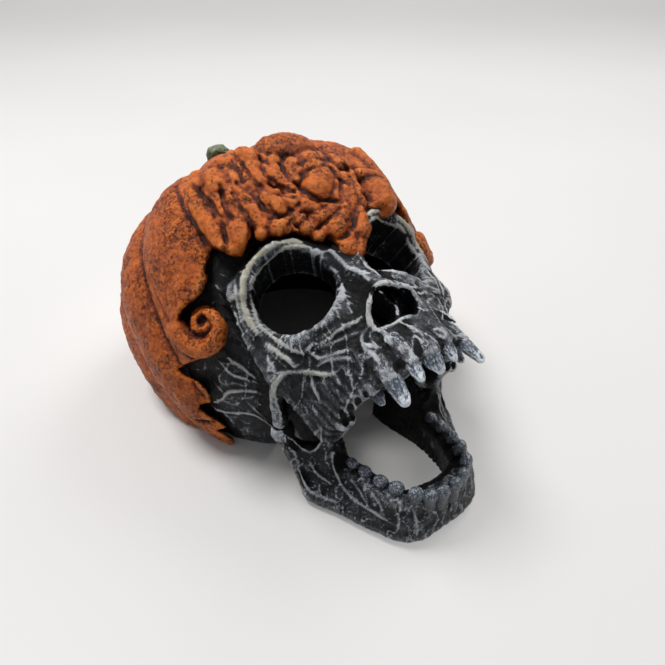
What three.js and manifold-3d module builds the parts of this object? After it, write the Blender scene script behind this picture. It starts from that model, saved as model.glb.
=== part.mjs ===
import * as THREE from 'three';
import { mergeVertices } from 'three/addons/utils/BufferGeometryUtils.js';
import Module from 'manifold-3d';

const wasm = await Module();
wasm.setup();

// Driving dimensions in millimetres. The skull lies on its back, tipped away from upright.
// In its own frame the face looks along -Y, the crown is +Z and X runs across.

const gap = 0.3;
const overrun = 40;
const mergeTolerance = 0.0001;

const head = {
  rise: 36.7,
  tiltDegrees: 65,
};

const pumpkin = {
  halfWidth: 78.5,
  front: 87.5,
  back: 73,
  top: 57,
  underside: 87,
  squareness: 2.23,
  skin: 3.2,
  ribs: 14,
  ribDepth: 5.8,
  ribPhaseDegrees: -33,
  ribSharpness: 0.6,
  dimpleDepth: 7,
  dimpleRadius: 20,
};

const stem = {
  leanDegrees: 22,
  length: 30,
  baseRadius: 9,
  tipRadius: 6.2,
  flutes: 6,
  fluteShare: 0.12,
  root: 4,
};

const braincase = {
  wall: 4,
  underside: 93,
};

const face = {
  cheekHalfWidth: 42.4,
  noseProud: 5.3,
  jawProud: 13,
  wall: 4.6,
};

const orbit = {
  openingRadius: 16.2,
  wall: 4.2,
  depth: 15,
  rimRound: 2.2,
  splayDegrees: 18,
};

const nose = {
  holeHalfWidth: 5.2,
  holeHalfHeight: 7.2,
  septum: 1.8,
};

const curl = {
  radius: 2.9,
  tipRadius: 1.5,
};

const arch = {
  endRadius: 3.2,
  waistRadius: 2.4,
};

const jaw = {
  length: 58.5,
  bodyRadius: 5,
  ramusRadius: 3.6,
  processRadius: 3.4,
  knobRadius: 5,
};

const tooth = {
  fangRadius: 3.2,
  pegRadius: 2.6,
};

const lump = {
  large: 6.6,
  medium: 4.5,
  small: 3.3,
};

// Counts, shares and angles: they follow the sizes above

const limbSides = 7;
const limbSteps = 5;
const capRings = 2;
const toothSides = 6;
const toothSteps = 1;
const ballColumns = 12;
const tipShare = 0.5;
const lumpSinkShare = 0.4;

// Lumps of the skin, each from one place to another: degrees across and above the middle, and a size
const lumpRows = [
  [[-2, 13], [5, 10], 'large'],
  [[-10, 14], [-9, 12], 'medium'],
  [[-18, 14], [-15, 13], 'medium'],
  [[-21, 10], [-21, 7], 'medium'],
  [[-25, 13], [-26, 11], 'medium'],
  [[-11, 7], [-11, 2], 'small'],
  [[-8, 4], [-5, -4], 'small'],
  [[0, 5], [5, 5], 'medium'],
  [[5, 0], [1, -6], 'large'],
  [[6, -9], [6, -9], 'small'],
  [[14, 1], [14, 1], 'small'],
  [[13, -4], [10, -12], 'small'],
  [[20, -3], [26, -3], 'small'],
  [[22, -9], [21, -13], 'large'],
  [[-12, -4], [-11, -8], 'medium'],
  [[-8, -6], [-7, -7], 'small'],
  [[-4, -9], [-2, -11], 'small'],
  [[-2, -13], [-2, -13], 'medium'],
  [[-7, -12], [-6, -15], 'small'],
  [[-5, -18], [-5, -18], 'small'],
  [[1, -18], [1, -18], 'medium'],
  [[2, -24], [2, -24], 'medium'],
  [[9, -17], [8, -20], 'medium'],
  [[7, -24], [4, -26], 'small'],
  [[-13, -12], [-13, -12], 'medium'],
  [[-18, -12], [-18, -12], 'small'],
  [[-17, -5], [-16, -10], 'small'],
  [[-23, -8], [-23, -10], 'medium'],
  [[-26, -11], [-26, -11], 'small'],
  [[-23, 5], [-23, -2], 'small'],
  [[-28, 8], [-28, -5], 'small'],
  [[-28, -7], [-28, -10], 'small'],
  [[-33, -2], [-34, -6], 'small'],
  [[28, 8], [28, -5], 'small'],
  [[28, -7], [28, -10], 'small'],
  [[33, -2], [34, -6], 'small'],
];

// Edge of the skin over the face: across as a share of half width, down as a share of front
const frontEdgeShares = [
  [-0.74, 0.28], [-0.68, 0.29], [-0.62, 0.23], [-0.575, 0.17], [-0.53, 0.21], [-0.49, 0.26],
  [-0.44, 0.23], [-0.4, 0.21], [-0.36, 0.245], [-0.25, 0.27], [-0.18, 0.285], [-0.12, 0.35],
  [-0.04, 0.43], [0.04, 0.485], [0.1, 0.47], [0.16, 0.4], [0.21, 0.34], [0.27, 0.31],
  [0.36, 0.32], [0.44, 0.3], [0.52, 0.25], [0.575, 0.18], [0.62, 0.23], [0.68, 0.29], [0.74, 0.28],
];

// Edge of the skin at the side: forward and down as shares of front
const sideEdgeShares = [
  [1.2, 0.24], [0.8, 0.26], [0.66, 0.26], [0.6, 0.32], [0.54, 0.42], [0.49, 0.49], [0.42, 0.52],
  [0.35, 0.61], [0.25, 0.6], [0.16, 0.67], [-0.16, 0.66], [-0.6, 0.66],
];

// The skull's shell, seen from the side, with its lap under the skin
const braincaseShares = [
  [0.96, 0.07], [0.68, 0.1], [0.46, 0.25], [0.23, 0.42], [-0.34, 0.46],
  [-0.34, 0.95], [-0.07, 0.87], [0.37, 0.88], [0.7, 0.74], [0.96, 0.6],
];
const browBandShares = [[1.14, 0.09], [0.62, 0.09], [0.62, 0.38], [1.14, 0.38]];
const sideStartShare = 0.46;

// Places on the face: across, forward and down, as shares of the face's three reaches
const faceShares = {
  orbit: [0.557, 0.787, 0.425],
  brow: [[0.94, 0.725, 0.3], [0.52, 0.83, 0.25], [0, 0.82, 0.36]],
  temple: [[0.95, 0.69, 0.3], [1, 0.67, 0.43], [0.99, 0.65, 0.56], [0.97, 0.66, 0.64]],
  lid: [[0.92, 0.68, 0.59], [0.74, 0.75, 0.6], [0.5, 0.82, 0.6], [0.3, 0.87, 0.63]],
  bridge: [[0, 0.8, 0.34], [0, 0.86, 0.48], [0, 0.965, 0.6]],
  noseRim: [[0, 0.99, 0.61], [0.17, 0.975, 0.64], [0.24, 0.94, 0.7], [0.19, 0.92, 0.755], [0, 0.945, 0.735]],
  noseHole: [0.125, 0.9, 0.685],
  noseSide: [0.3, 0.85, 0.6],
  underEye: [[0.97, 0.66, 0.63], [0.78, 0.72, 0.64], [0.5, 0.81, 0.67], [0.27, 0.89, 0.69], [0, 0.91, 0.75]],
  gum: [[0.64, 0.52, 0.885], [0.58, 0.7, 0.87], [0.42, 0.87, 0.86], [0.21, 0.945, 0.855], [0, 0.955, 0.855]],
  roof: [0, 0.7, 0.8],
  cavity: [0, 0.54, 0.64],
  palate: [0, 0.66, 0.96],
  deepWall: [[0.82, 0.6, 0.6], [0.66, 0.48, 0.72], [0.6, 0.43, 0.88]],
  archRow: [[0.98, 0.64, 0.655], [1.01, 0.5, 0.7], [0.99, 0.39, 0.76]],
  hinge: [0, 0.35, 0.788],
};
const faceRadiusShares = {
  brow: [0.1, 0.1, 0.1],
  temple: [0.09, 0.1, 0.1, 0.11],
  lid: [0.11, 0.11, 0.11, 0.1],
  bridge: [0.15, 0.14, 0.06],
  noseRim: [0.045, 0.04, 0.04, 0.04, 0.045],
  noseSide: [0.21, 0.17, 0.27],
  roof: [0.5, 0.45, 0.2],
  cavity: [0.52, 0.75, 0.38],
  palate: [0.43, 0.52, 0.19],
  deepWall: [0.12, 0.12, 0.12],
};

// Rolled tip of the skin at the temple: across by half width, forward and down by front
const curlShares = [
  [-0.68, 0.71, 0.37], [-0.675, 0.69, 0.43], [-0.69, 0.655, 0.465], [-0.735, 0.605, 0.475],
  [-0.775, 0.565, 0.44], [-0.795, 0.565, 0.38], [-0.8, 0.595, 0.32],
];

// Lower jaw: across by the cheeks, forward by the jaw's length, up by the height of its joint
const jawShares = {
  base: [[0.88, 0.26, 0.13], [0.73, 0.45, 0.14], [0.56, 0.69, 0.15], [0.36, 0.895, 0.15], [0, 0.925, 0.15]],
  ridge: [[0.66, 0.26, 0.42], [0.54, 0.41, 0.48], [0.47, 0.64, 0.54], [0.34, 0.83, 0.59], [0, 0.885, 0.6]],
  ramusRear: [[0.885, 0.17, 0.12], [0.92, 0.11, 0.45], [0.95, 0.06, 0.74]],
  ramusFront: [[0.74, 0.33, 0.2], [0.7, 0.27, 0.5], [0.68, 0.235, 0.74]],
  coronoid: [[0.7, 0.25, 0.6], [0.66, 0.22, 1.08]],
  neck: [[0.93, 0.08, 0.6], [0.99, 0, 0.96]],
  knob: [0.99, 0, 1],
};

// Lower teeth: tips in the lower jaw's shares, and the part of each tip's place where its root lies
const lowerTipShares = [
  [0.075, 0.952, 0.822], [0.203, 0.928, 0.828], [0.318, 0.875, 0.883], [0.41, 0.761, 0.846],
  [0.462, 0.644, 0.773], [0.5, 0.504, 0.706], [0.528, 0.381, 0.639],
];
const lowerRootShares = [0.97, 0.985, 0.45];
// Upper teeth: root and tip in the face's shares
const upperRows = [
  { name: 'upper_molar_right', root: [-0.47, 0.83, 0.86], tip: [-0.44, 0.83, 0.95], size: 'pegRadius' },
  { name: 'upper_canine_right', root: [-0.39, 0.945, 0.86], tip: [-0.4, 0.945, 1.005], size: 'fangRadius' },
  { name: 'upper_incisor_right', root: [-0.205, 0.975, 0.86], tip: [-0.205, 0.98, 0.965], size: 'pegRadius' },
  { name: 'upper_incisor_middle', root: [0, 0.98, 0.86], tip: [0, 0.965, 0.965], size: 'fangRadius' },
  { name: 'upper_incisor_left', root: [0.195, 0.97, 0.86], tip: [0.19, 0.97, 0.955], size: 'pegRadius' },
  { name: 'upper_canine_left', root: [0.36, 0.94, 0.87], tip: [0.52, 0.94, 1], size: 'fangRadius' },
  { name: 'upper_molar_left', root: [0.47, 0.83, 0.86], tip: [0.46, 0.83, 0.95], size: 'pegRadius' },
];

// Materials

const paint = {
  orange: new THREE.MeshStandardMaterial({ color: 0xb4532a, roughness: 0.65, metalness: 0 }),
  green: new THREE.MeshStandardMaterial({ color: 0x4c5a36, roughness: 0.75, metalness: 0 }),
  black: new THREE.MeshStandardMaterial({ color: 0x2f3235, roughness: 0.6, metalness: 0 }),
  bone: new THREE.MeshStandardMaterial({ color: 0x77797a, roughness: 0.5, metalness: 0 }),
};

// Frames

const headFrame = new THREE.Matrix4().compose(
  new THREE.Vector3(0, 0, head.rise),
  new THREE.Quaternion().setFromAxisAngle(
    new THREE.Vector3(1, 0, 0),
    -THREE.MathUtils.degToRad(head.tiltDegrees),
  ),
  new THREE.Vector3(1, 1, 1),
);
const floorFrame = headFrame.clone().invert();

const faceReach = pumpkin.front + face.noseProud;
const faceDrop = pumpkin.underside + face.jawProud;

function facePoint([across, forward, down]) {
  return new THREE.Vector3(across * face.cheekHalfWidth, -forward * faceReach, -down * faceDrop);
}

const hinge = facePoint(faceShares.hinge).applyMatrix4(headFrame);
const jawFrame = new THREE.Matrix4().makeTranslation(0, hinge.y, 0);

function jawPoint([across, forward, up]) {
  return new THREE.Vector3(across * face.cheekHalfWidth, -forward * jaw.length, up * hinge.z);
}

function mirrored([across, along, up]) {
  return [-across, along, up];
}

function bothSides(half) {
  return [...half, ...half.slice(0, -1).reverse().map(mirrored)];
}

// Solids from three.js geometry

function signedVolume(positions, index) {
  const corners = [new THREE.Vector3(), new THREE.Vector3(), new THREE.Vector3()];
  let total = 0;
  for (let start = 0; start < index.length; start += 3) {
    corners.forEach((corner, turn) => corner.fromArray(positions, index[start + turn] * 3));
    total += corners[0].dot(corners[1].clone().cross(corners[2]));
  }
  return total;
}

function bare(geometry) {
  const copy = geometry.clone();
  copy.deleteAttribute('normal');
  copy.deleteAttribute('uv');
  return mergeVertices(copy, mergeTolerance);
}

function solidOf(geometry) {
  const merged = bare(geometry);
  const vertProperties = new Float32Array(merged.attributes.position.array);
  const triVerts = new Uint32Array(merged.index.array);
  if (signedVolume(vertProperties, triVerts) < 0) {
    triVerts.reverse();
  }
  return new wasm.Manifold(new wasm.Mesh({ numProp: 3, vertProperties, triVerts }));
}

function moved(solid, matrix) {
  return solid.transform(matrix.elements);
}

function joined(solids) {
  return solids.reduce((whole, solid) => whole.add(solid));
}

function without(solid, cutters) {
  return cutters.reduce((rest, cutter) => rest.subtract(cutter), solid);
}

function largestBody(solid) {
  return solid.decompose().reduce((best, body) => (body.volume() > best.volume() ? body : best));
}

// A sphere whose points are moved by a rule: the rule gets the point's direction
function shapedSphere(columns, rows, rule) {
  const geometry = bare(new THREE.SphereGeometry(1, columns, rows));
  const position = geometry.attributes.position;
  const point = new THREE.Vector3();
  for (let index = 0; index < position.count; index += 1) {
    point.fromBufferAttribute(position, index);
    const placed = rule(point);
    position.setXYZ(index, placed.x, placed.y, placed.z);
  }
  return solidOf(geometry);
}

function ellipsoid(centre, radii, grow = 0) {
  return shapedSphere(ballColumns, ballColumns / 2, (point) => new THREE.Vector3(
    point.x * (radii.x + grow),
    point.y * (radii.y + grow),
    point.z * (radii.z + grow),
  ).add(centre));
}

// A round-ended limb along a curve, with a radius for each of its points
function limb(points, radii, { grow = 0, sides = limbSides, steps = limbSteps, fluting = () => 1 } = {}) {
  const curve = new THREE.CatmullRomCurve3(points);
  const frames = curve.computeFrenetFrames(steps, false);
  const rows = steps + 2 * capRings;
  return shapedSphere(sides, rows, (point) => {
    const row = Math.round((Math.acos(THREE.MathUtils.clamp(point.y, -1, 1)) / Math.PI) * rows);
    const step = THREE.MathUtils.clamp(row - capRings, 0, steps);
    const beyond = row - capRings - step;
    const share = step / steps;
    const place = share * (radii.length - 1);
    const lower = Math.min(Math.floor(place), radii.length - 2);
    const radius = THREE.MathUtils.lerp(radii[lower], radii[lower + 1], place - lower) + grow;
    const roll = Math.atan2(point.z, point.x);
    const swing = (Math.abs(beyond) / capRings) * (Math.PI / 2);
    const spread = Math.abs(beyond) === capRings ? 0 : radius * Math.cos(swing) * fluting(roll);
    return curve.getPointAt(share)
      .addScaledVector(frames.tangents[step], Math.sign(beyond) * radius * Math.sin(swing))
      .addScaledVector(frames.normals[step], spread * Math.cos(roll))
      .addScaledVector(frames.binormals[step], spread * Math.sin(roll));
  });
}

// A round-edged wall between two rows of places
function wall(nearRow, farRow, radius, { grow = 0, sides = 12, steps = limbSteps } = {}) {
  const near = new THREE.CatmullRomCurve3(nearRow);
  const far = new THREE.CatmullRomCurve3(farRow);
  const rows = steps + 2 * capRings;
  const squared = (value) => Math.sign(value) * Math.sqrt(Math.abs(value));
  return shapedSphere(sides, rows, (point) => {
    const row = Math.round((Math.acos(THREE.MathUtils.clamp(point.y, -1, 1)) / Math.PI) * rows);
    const step = THREE.MathUtils.clamp(row - capRings, 0, steps);
    const beyond = row - capRings - step;
    const start = near.getPoint(step / steps);
    const across = far.getPoint(step / steps).sub(start);
    const onward = near.getTangent(step / steps).add(far.getTangent(step / steps));
    const normal = onward.clone().cross(across).normalize();
    const forward = across.clone().cross(normal).normalize();
    const half = across.length() / 2 + radius + grow;
    const swing = (Math.abs(beyond) / capRings) * (Math.PI / 2);
    const spread = Math.abs(beyond) === capRings ? 0 : Math.cos(swing);
    const roll = Math.atan2(point.z, point.x);
    return start.addScaledVector(across, 1 / 2)
      .addScaledVector(forward, Math.sign(beyond) * (radius + grow) * Math.sin(swing))
      .addScaledVector(across.normalize(), half * spread * squared(Math.cos(roll)))
      .addScaledVector(normal, (radius + grow) * spread * squared(Math.sin(roll)));
  });
}

// A slab with the given outline, its thickness centred on the plane where it is drawn
function slab(outline, thickness, matrix) {
  const shape = new THREE.Shape(outline.map(([u, v]) => new THREE.Vector2(u, v)));
  const geometry = new THREE.ExtrudeGeometry(shape, { depth: thickness, bevelEnabled: false });
  geometry.applyMatrix4(matrix);
  return solidOf(geometry);
}

const floorCut = moved(
  solidOf(new THREE.BoxGeometry(
    2 * (pumpkin.halfWidth + overrun),
    2 * (pumpkin.front + faceDrop),
    2 * overrun,
  ).translate(0, 0, -overrun)),
  floorFrame,
);

// Pumpkin skin

const stemTurn = THREE.MathUtils.degToRad(stem.leanDegrees);
const stemUp = new THREE.Vector3(0, -Math.sin(stemTurn), Math.cos(stemTurn));
const ribPhase = THREE.MathUtils.degToRad(pumpkin.ribPhaseDegrees);

function formReach(way, radii) {
  const power = pumpkin.squareness;
  const across = Math.abs(way.x) / radii.halfWidth;
  const along = Math.abs(way.y) / (way.y < 0 ? radii.front : radii.back);
  const up = Math.abs(way.z) / (way.z > 0 ? radii.top : radii.underside);
  return (across ** power + along ** power + up ** power) ** (-1 / power);
}

function inset(radii, depth) {
  return {
    halfWidth: radii.halfWidth - depth,
    front: radii.front - depth,
    back: radii.back - depth,
    top: radii.top - depth,
    underside: radii.underside - depth,
  };
}

function wayTo([across, above]) {
  const lon = THREE.MathUtils.degToRad(across);
  const lat = THREE.MathUtils.degToRad(above);
  return new THREE.Vector3(
    Math.cos(lat) * Math.sin(lon),
    -Math.cos(lat) * Math.cos(lon),
    Math.sin(lat),
  );
}

function skinReach(way) {
  const plain = formReach(way, pumpkin);
  const along = way.dot(stemUp);
  const round = Math.atan2(way.x, -way.y * Math.cos(stemTurn) - way.z * Math.sin(stemTurn));
  const crest = Math.abs(Math.sin((pumpkin.ribs / 2) * (round - ribPhase))) ** pumpkin.ribSharpness;
  const ribbing = pumpkin.ribDepth * (1 - crest) * Math.sqrt(Math.max(0, 1 - along * along));
  const fromStem = (Math.acos(THREE.MathUtils.clamp(along, -1, 1)) * plain) / pumpkin.dimpleRadius;
  const dimple = pumpkin.dimpleDepth * Math.exp(-fromStem * fromStem);
  return plain - ribbing - dimple;
}

function lumpSolid([from, to, size]) {
  const radius = lump[size];
  const sunk = (place) => {
    const way = wayTo(place);
    return way.clone().multiplyScalar(formReach(way, pumpkin) - radius * lumpSinkShare);
  };
  const start = sunk(from);
  const end = sunk(to);
  if (start.distanceTo(end) < radius / 2) {
    return ellipsoid(start, new THREE.Vector3(radius, radius, radius));
  }
  return limb([start, end], [radius, radius], { steps: 2 });
}

// A column of points runs down each groove between the ribs, and rows gather round the middle
const columnsPerRib = 5;
const middleCrowding = 0.2;

function crowdedWay(point) {
  const round = Math.atan2(point.x, point.z) + Math.PI / 2 + ribPhase;
  const height = Math.asin(THREE.MathUtils.clamp(point.y, -1, 1));
  const raised = height + (middleCrowding / 2) * -Math.sin(2 * height);
  return new THREE.Vector3(
    Math.cos(raised) * Math.sin(round),
    -Math.cos(raised) * Math.cos(round),
    Math.sin(raised),
  ).applyAxisAngle(new THREE.Vector3(1, 0, 0), stemTurn);
}

function edgeSlab(edgeShares, unitAcross, from, depth, matrix) {
  const low = -2 * pumpkin.front;
  const edge = edgeShares.map(([u, down]) => [u * unitAcross, -down * pumpkin.front]);
  const outline = [...edge, [edge.at(-1)[0], low], [edge[0][0], low]];
  return slab(outline, depth, matrix.clone().multiply(new THREE.Matrix4().makeTranslation(0, 0, from)));
}

// Drawn from the front: outline across and up, thickness towards the face
const frontPlane = new THREE.Matrix4().makeBasis(
  new THREE.Vector3(1, 0, 0),
  new THREE.Vector3(0, 0, 1),
  new THREE.Vector3(0, -1, 0),
);
// Drawn from the side: outline forward and up, thickness across
const sidePlane = new THREE.Matrix4().makeBasis(
  new THREE.Vector3(0, -1, 0),
  new THREE.Vector3(0, 0, 1),
  new THREE.Vector3(-1, 0, 0),
);

const windowHalf = frontEdgeShares.at(-1)[0] * pumpkin.halfWidth;
const skinWindow = joined([
  edgeSlab(frontEdgeShares, pumpkin.halfWidth, -pumpkin.back, pumpkin.back + 2 * pumpkin.front, frontPlane),
  edgeSlab(sideEdgeShares, pumpkin.front, windowHalf - gap, overrun, sidePlane),
  edgeSlab(sideEdgeShares, pumpkin.front, -windowHalf + gap - overrun, overrun, sidePlane),
]);

const innerForm = inset({ ...pumpkin, underside: braincase.underside }, pumpkin.skin + pumpkin.ribDepth);

const shellColumns = 32;
const shellRows = 16;

function formSolid(radii, columns, rows) {
  return shapedSphere(columns, rows, (point) => {
    const way = new THREE.Vector3(point.x, -point.z, point.y);
    return way.clone().multiplyScalar(formReach(way, radii));
  });
}

// Face

function faceLimb(name, scale, options) {
  const radii = faceRadiusShares[name].map((share) => share * face.cheekHalfWidth);
  return limb(scale.map(facePoint), radii, options);
}

function orbitFrame(side) {
  const splay = THREE.MathUtils.degToRad(orbit.splayDegrees);
  const outward = new THREE.Vector3(side * Math.sin(splay), -Math.cos(splay), 0);
  const [across, forward, down] = faceShares.orbit;
  return new THREE.Matrix4().compose(
    facePoint([side * across, forward, down]),
    new THREE.Quaternion().setFromUnitVectors(new THREE.Vector3(0, 1, 0), outward),
    new THREE.Vector3(1, 1, 1),
  );
}

const orbitColumns = 26;

function orbitRim(side, grow) {
  const inner = orbit.openingRadius - orbit.rimRound;
  const outer = orbit.openingRadius + orbit.wall + grow;
  const profile = [
    [inner, -orbit.depth - grow],
    [outer, -orbit.depth - grow],
    [outer, -orbit.rimRound],
    [outer - orbit.rimRound / 2, grow],
    [outer - orbit.wall / 2, orbit.rimRound / 2 + grow],
    [inner, grow],
    [inner, -orbit.depth - grow],
  ].map(([u, v]) => new THREE.Vector2(u, v));
  const ring = new THREE.LatheGeometry(profile, orbitColumns).applyMatrix4(orbitFrame(side));
  return solidOf(ring);
}

function orbitTunnel(side) {
  const length = 2 * overrun;
  const geometry = new THREE.CylinderGeometry(
    orbit.openingRadius,
    orbit.openingRadius,
    length,
    orbitColumns,
  );
  return solidOf(geometry.applyMatrix4(orbitFrame(side)));
}

function faceForms(grow) {
  const options = { grow };
  const sized = (name) => new THREE.Vector3(...faceRadiusShares[name]).multiplyScalar(face.cheekHalfWidth);
  const oneSide = (name, side) => faceShares[name].map((row) => (side < 0 ? mirrored(row) : row));
  const sides = [-1, 1].flatMap((side) => [
    orbitRim(side, grow),
    faceLimb('noseRim', oneSide('noseRim', side), options),
    faceLimb('temple', oneSide('temple', side), options),
    faceLimb('lid', oneSide('lid', side), options),
    faceLimb('deepWall', oneSide('deepWall', side), options),
    ellipsoid(facePoint(side < 0 ? mirrored(faceShares.noseSide) : faceShares.noseSide), sized('noseSide'), grow),
  ]);
  return joined([
    ...sides,
    faceLimb('brow', bothSides(faceShares.brow), options),
    faceLimb('bridge', faceShares.bridge, options),
    wall(
      bothSides(faceShares.underEye).map(facePoint),
      bothSides(faceShares.gum).map(facePoint),
      face.wall,
      { grow, steps: 4 * limbSteps },
    ),
    ellipsoid(facePoint(faceShares.roof), sized('roof'), grow),
  ]);
}

function noseHole(side) {
  const [across, forward, down] = faceShares.noseHole;
  const radii = new THREE.Vector3(nose.holeHalfWidth, overrun / 2, nose.holeHalfHeight);
  return ellipsoid(facePoint([side * across, forward, down]), radii);
}

function faceHollow(name) {
  const radii = new THREE.Vector3(...faceRadiusShares[name]).multiplyScalar(face.cheekHalfWidth);
  return ellipsoid(facePoint(faceShares[name]), radii);
}

// Teeth

function toothSolid(root, tip, radius, grow = 0) {
  const middle = root.clone().lerp(tip, tipShare);
  const radii = [radius, radius, radius * tipShare];
  return limb([root, middle, tip], radii, { grow, sides: toothSides, steps: toothSteps });
}

function upperTooth({ root, tip, size }, grow) {
  return toothSolid(facePoint(root), facePoint(tip), tooth[size], grow);
}

function lowerTooth(tipShares, grow) {
  const tip = jawPoint(tipShares);
  const root = jawPoint(tipShares.map((share, axis) => share * lowerRootShares[axis]));
  return toothSolid(root, tip, tooth.pegRadius, grow);
}

const lowerRows = [-1, 1].flatMap((side) => lowerTipShares.map(([across, forward, up], index) => ({
  name: `lower_tooth_${side < 0 ? 'right' : 'left'}_${index + 1}`,
  tip: [side * across, forward, up],
})));

// Pieces, each cut clear of its neighbours

const grownFace = faceForms(gap);
const tunnels = [orbitTunnel(-1), orbitTunnel(1)];

const skullFace = largestBody(without(faceForms(0), [
  ...tunnels,
  noseHole(-1),
  noseHole(1),
  faceHollow('cavity'),
  faceHollow('palate'),
  ...upperRows.map((row) => upperTooth(row, gap)),
]));

function archLimb(side, grow) {
  const row = faceShares.archRow.map((place) => (side < 0 ? mirrored(place) : place));
  return limb(row.map(facePoint), [arch.endRadius, arch.waistRadius, arch.endRadius], { grow });
}

function curlLimb(side, grow) {
  const points = curlShares.map(([across, forward, down]) => new THREE.Vector3(
    -side * across * pumpkin.halfWidth,
    -forward * pumpkin.front,
    -down * pumpkin.front,
  ));
  const radii = points.map((_, index) => (index === 0 ? curl.tipRadius : curl.radius));
  return limb(points, radii, { grow, steps: 2 * limbSteps });
}

const stemBase = stemUp.clone().multiplyScalar(
  formReach(stemUp, pumpkin) - pumpkin.dimpleDepth - stem.root,
);
const stemBend = stemBase.clone().addScaledVector(stemUp, stem.length / 2);
const upright = new THREE.Vector3(0, 0, 1).transformDirection(floorFrame);
const stemTip = stemBend.clone().addScaledVector(upright.add(stemUp).normalize(), stem.length / 2);

function stemSolid(grow) {
  return limb([stemBase, stemBend, stemTip], [stem.baseRadius, stem.tipRadius, stem.tipRadius], {
    grow,
    sides: 4 * stem.flutes,
    fluting: (roll) => 1 + stem.fluteShare * Math.cos(stem.flutes * roll) * (grow > 0 ? 0 : 1)
      + (grow > 0 ? stem.fluteShare : 0),
  });
}

const crownColumns = pumpkin.ribs * columnsPerRib;
const crownRows = 32;

const skin = shapedSphere(crownColumns, crownRows, (point) => {
  const way = crowdedWay(point);
  return way.clone().multiplyScalar(skinReach(way));
});
const crown = largestBody(without(
  joined([skin, ...lumpRows.map(lumpSolid)]),
  [
    formSolid(innerForm, shellColumns, shellRows),
    skinWindow,
    grownFace,
    floorCut,
    stemSolid(gap),
    curlLimb(-1, gap),
    curlLimb(1, gap),
    ...tunnels,
  ],
));

const shellForm = inset(innerForm, gap);

function braincaseRegion() {
  const outline = braincaseShares.map(([u, v]) => [u * pumpkin.front, -v * pumpkin.front]);
  const band = browBandShares.map(([u, v]) => [u * pumpkin.front, -v * pumpkin.front]);
  const start = sideStartShare * pumpkin.halfWidth;
  const across = (from) => sidePlane.clone().multiply(new THREE.Matrix4().makeTranslation(0, 0, from));
  return joined([
    slab(outline, overrun * 2, across(start)),
    slab(outline, overrun * 2, across(-start - overrun * 2)),
    slab(band, 2 * start + 2 * gap, across(-start - gap)),
  ]);
}

const grownArches = [archLimb(-1, gap), archLimb(1, gap)];
const cranium = largestBody(without(
  formSolid(shellForm, shellColumns, shellRows)
    .subtract(formSolid(inset(shellForm, braincase.wall), shellColumns, shellRows))
    .intersect(braincaseRegion()),
  [grownFace, floorCut, curlLimb(-1, gap), curlLimb(1, gap), ...tunnels, ...grownArches],
));

function jawForms() {
  const row = (name, side) => jawShares[name]
    .map((place) => jawPoint(side < 0 ? mirrored(place) : place));
  const [across, forward, up] = jawShares.knob;
  const knob = new THREE.Vector3(jaw.knobRadius, jaw.knobRadius, jaw.knobRadius);
  const uprights = [-1, 1].flatMap((side) => [
    wall(row('ramusRear', side), row('ramusFront', side), jaw.ramusRadius, { grow: 0 }),
    limb(row('coronoid', side), [jaw.processRadius, jaw.processRadius], {}),
    limb(row('neck', side), [jaw.processRadius, jaw.processRadius], {}),
    ellipsoid(jawPoint([side * across, forward, up]), knob),
  ]);
  const body = wall(
    bothSides(jawShares.base).map(jawPoint),
    bothSides(jawShares.ridge).map(jawPoint),
    jaw.bodyRadius,
    { steps: 4 * limbSteps },
  );
  return joined([body, ...uprights]);
}

const toJaw = jawFrame.clone().invert().multiply(headFrame);
const jawFloor = moved(floorCut, toJaw);
const mandible = largestBody(without(jawForms(), [
  jawFloor,
  moved(grownFace, toJaw),
  moved(formSolid(inset(shellForm, -gap), shellColumns, shellRows), toJaw),
  ...grownArches.map((solid) => moved(solid, toJaw)),
  ...lowerRows.map(({ tip }) => lowerTooth(tip, gap)),
]));

const septumShares = [[0.985, 0.6], [0.95, 0.75], [0.86, 0.76], [0.86, 0.6]];
const septum = largestBody(slab(
  septumShares.map(([forward, down]) => [forward * faceReach, -down * faceDrop]),
  nose.septum,
  sidePlane.clone().multiply(new THREE.Matrix4().makeTranslation(0, 0, -nose.septum / 2)),
).subtract(without(grownFace, [noseHole(-1), noseHole(1)])));

// Scene

function meshOf(name, solid, material) {
  const { vertProperties, triVerts } = solid.getMesh();
  const geometry = new THREE.BufferGeometry();
  geometry.setAttribute('position', new THREE.BufferAttribute(new Float32Array(vertProperties), 3));
  geometry.setIndex(new THREE.BufferAttribute(new Uint32Array(triVerts), 1));
  geometry.computeVertexNormals();
  const mesh = new THREE.Mesh(geometry, material);
  mesh.name = name;
  return mesh;
}

const headGroup = new THREE.Group();
headGroup.applyMatrix4(headFrame);
headGroup.add(
  meshOf('pumpkin_crown', crown, paint.orange),
  meshOf('stem', stemSolid(0), paint.green),
  meshOf('temple_curl_right', largestBody(curlLimb(-1, 0).subtract(grownFace)), paint.orange),
  meshOf('temple_curl_left', largestBody(curlLimb(1, 0).subtract(grownFace)), paint.orange),
  meshOf('skull_braincase', cranium, paint.black),
  meshOf('skull_face', skullFace, paint.black),
  meshOf('nasal_septum', septum, paint.bone),
  meshOf('zygomatic_arch_right', largestBody(archLimb(-1, 0).subtract(grownFace)), paint.black),
  meshOf('zygomatic_arch_left', largestBody(archLimb(1, 0).subtract(grownFace)), paint.black),
  ...upperRows.map((row) => meshOf(row.name, upperTooth(row, 0), paint.bone)),
);

const jawGroup = new THREE.Group();
jawGroup.applyMatrix4(jawFrame);
jawGroup.add(
  meshOf('mandible', mandible, paint.black),
  ...lowerRows.map(({ name, tip }) => meshOf(name, lowerTooth(tip, 0), paint.bone)),
);

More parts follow.
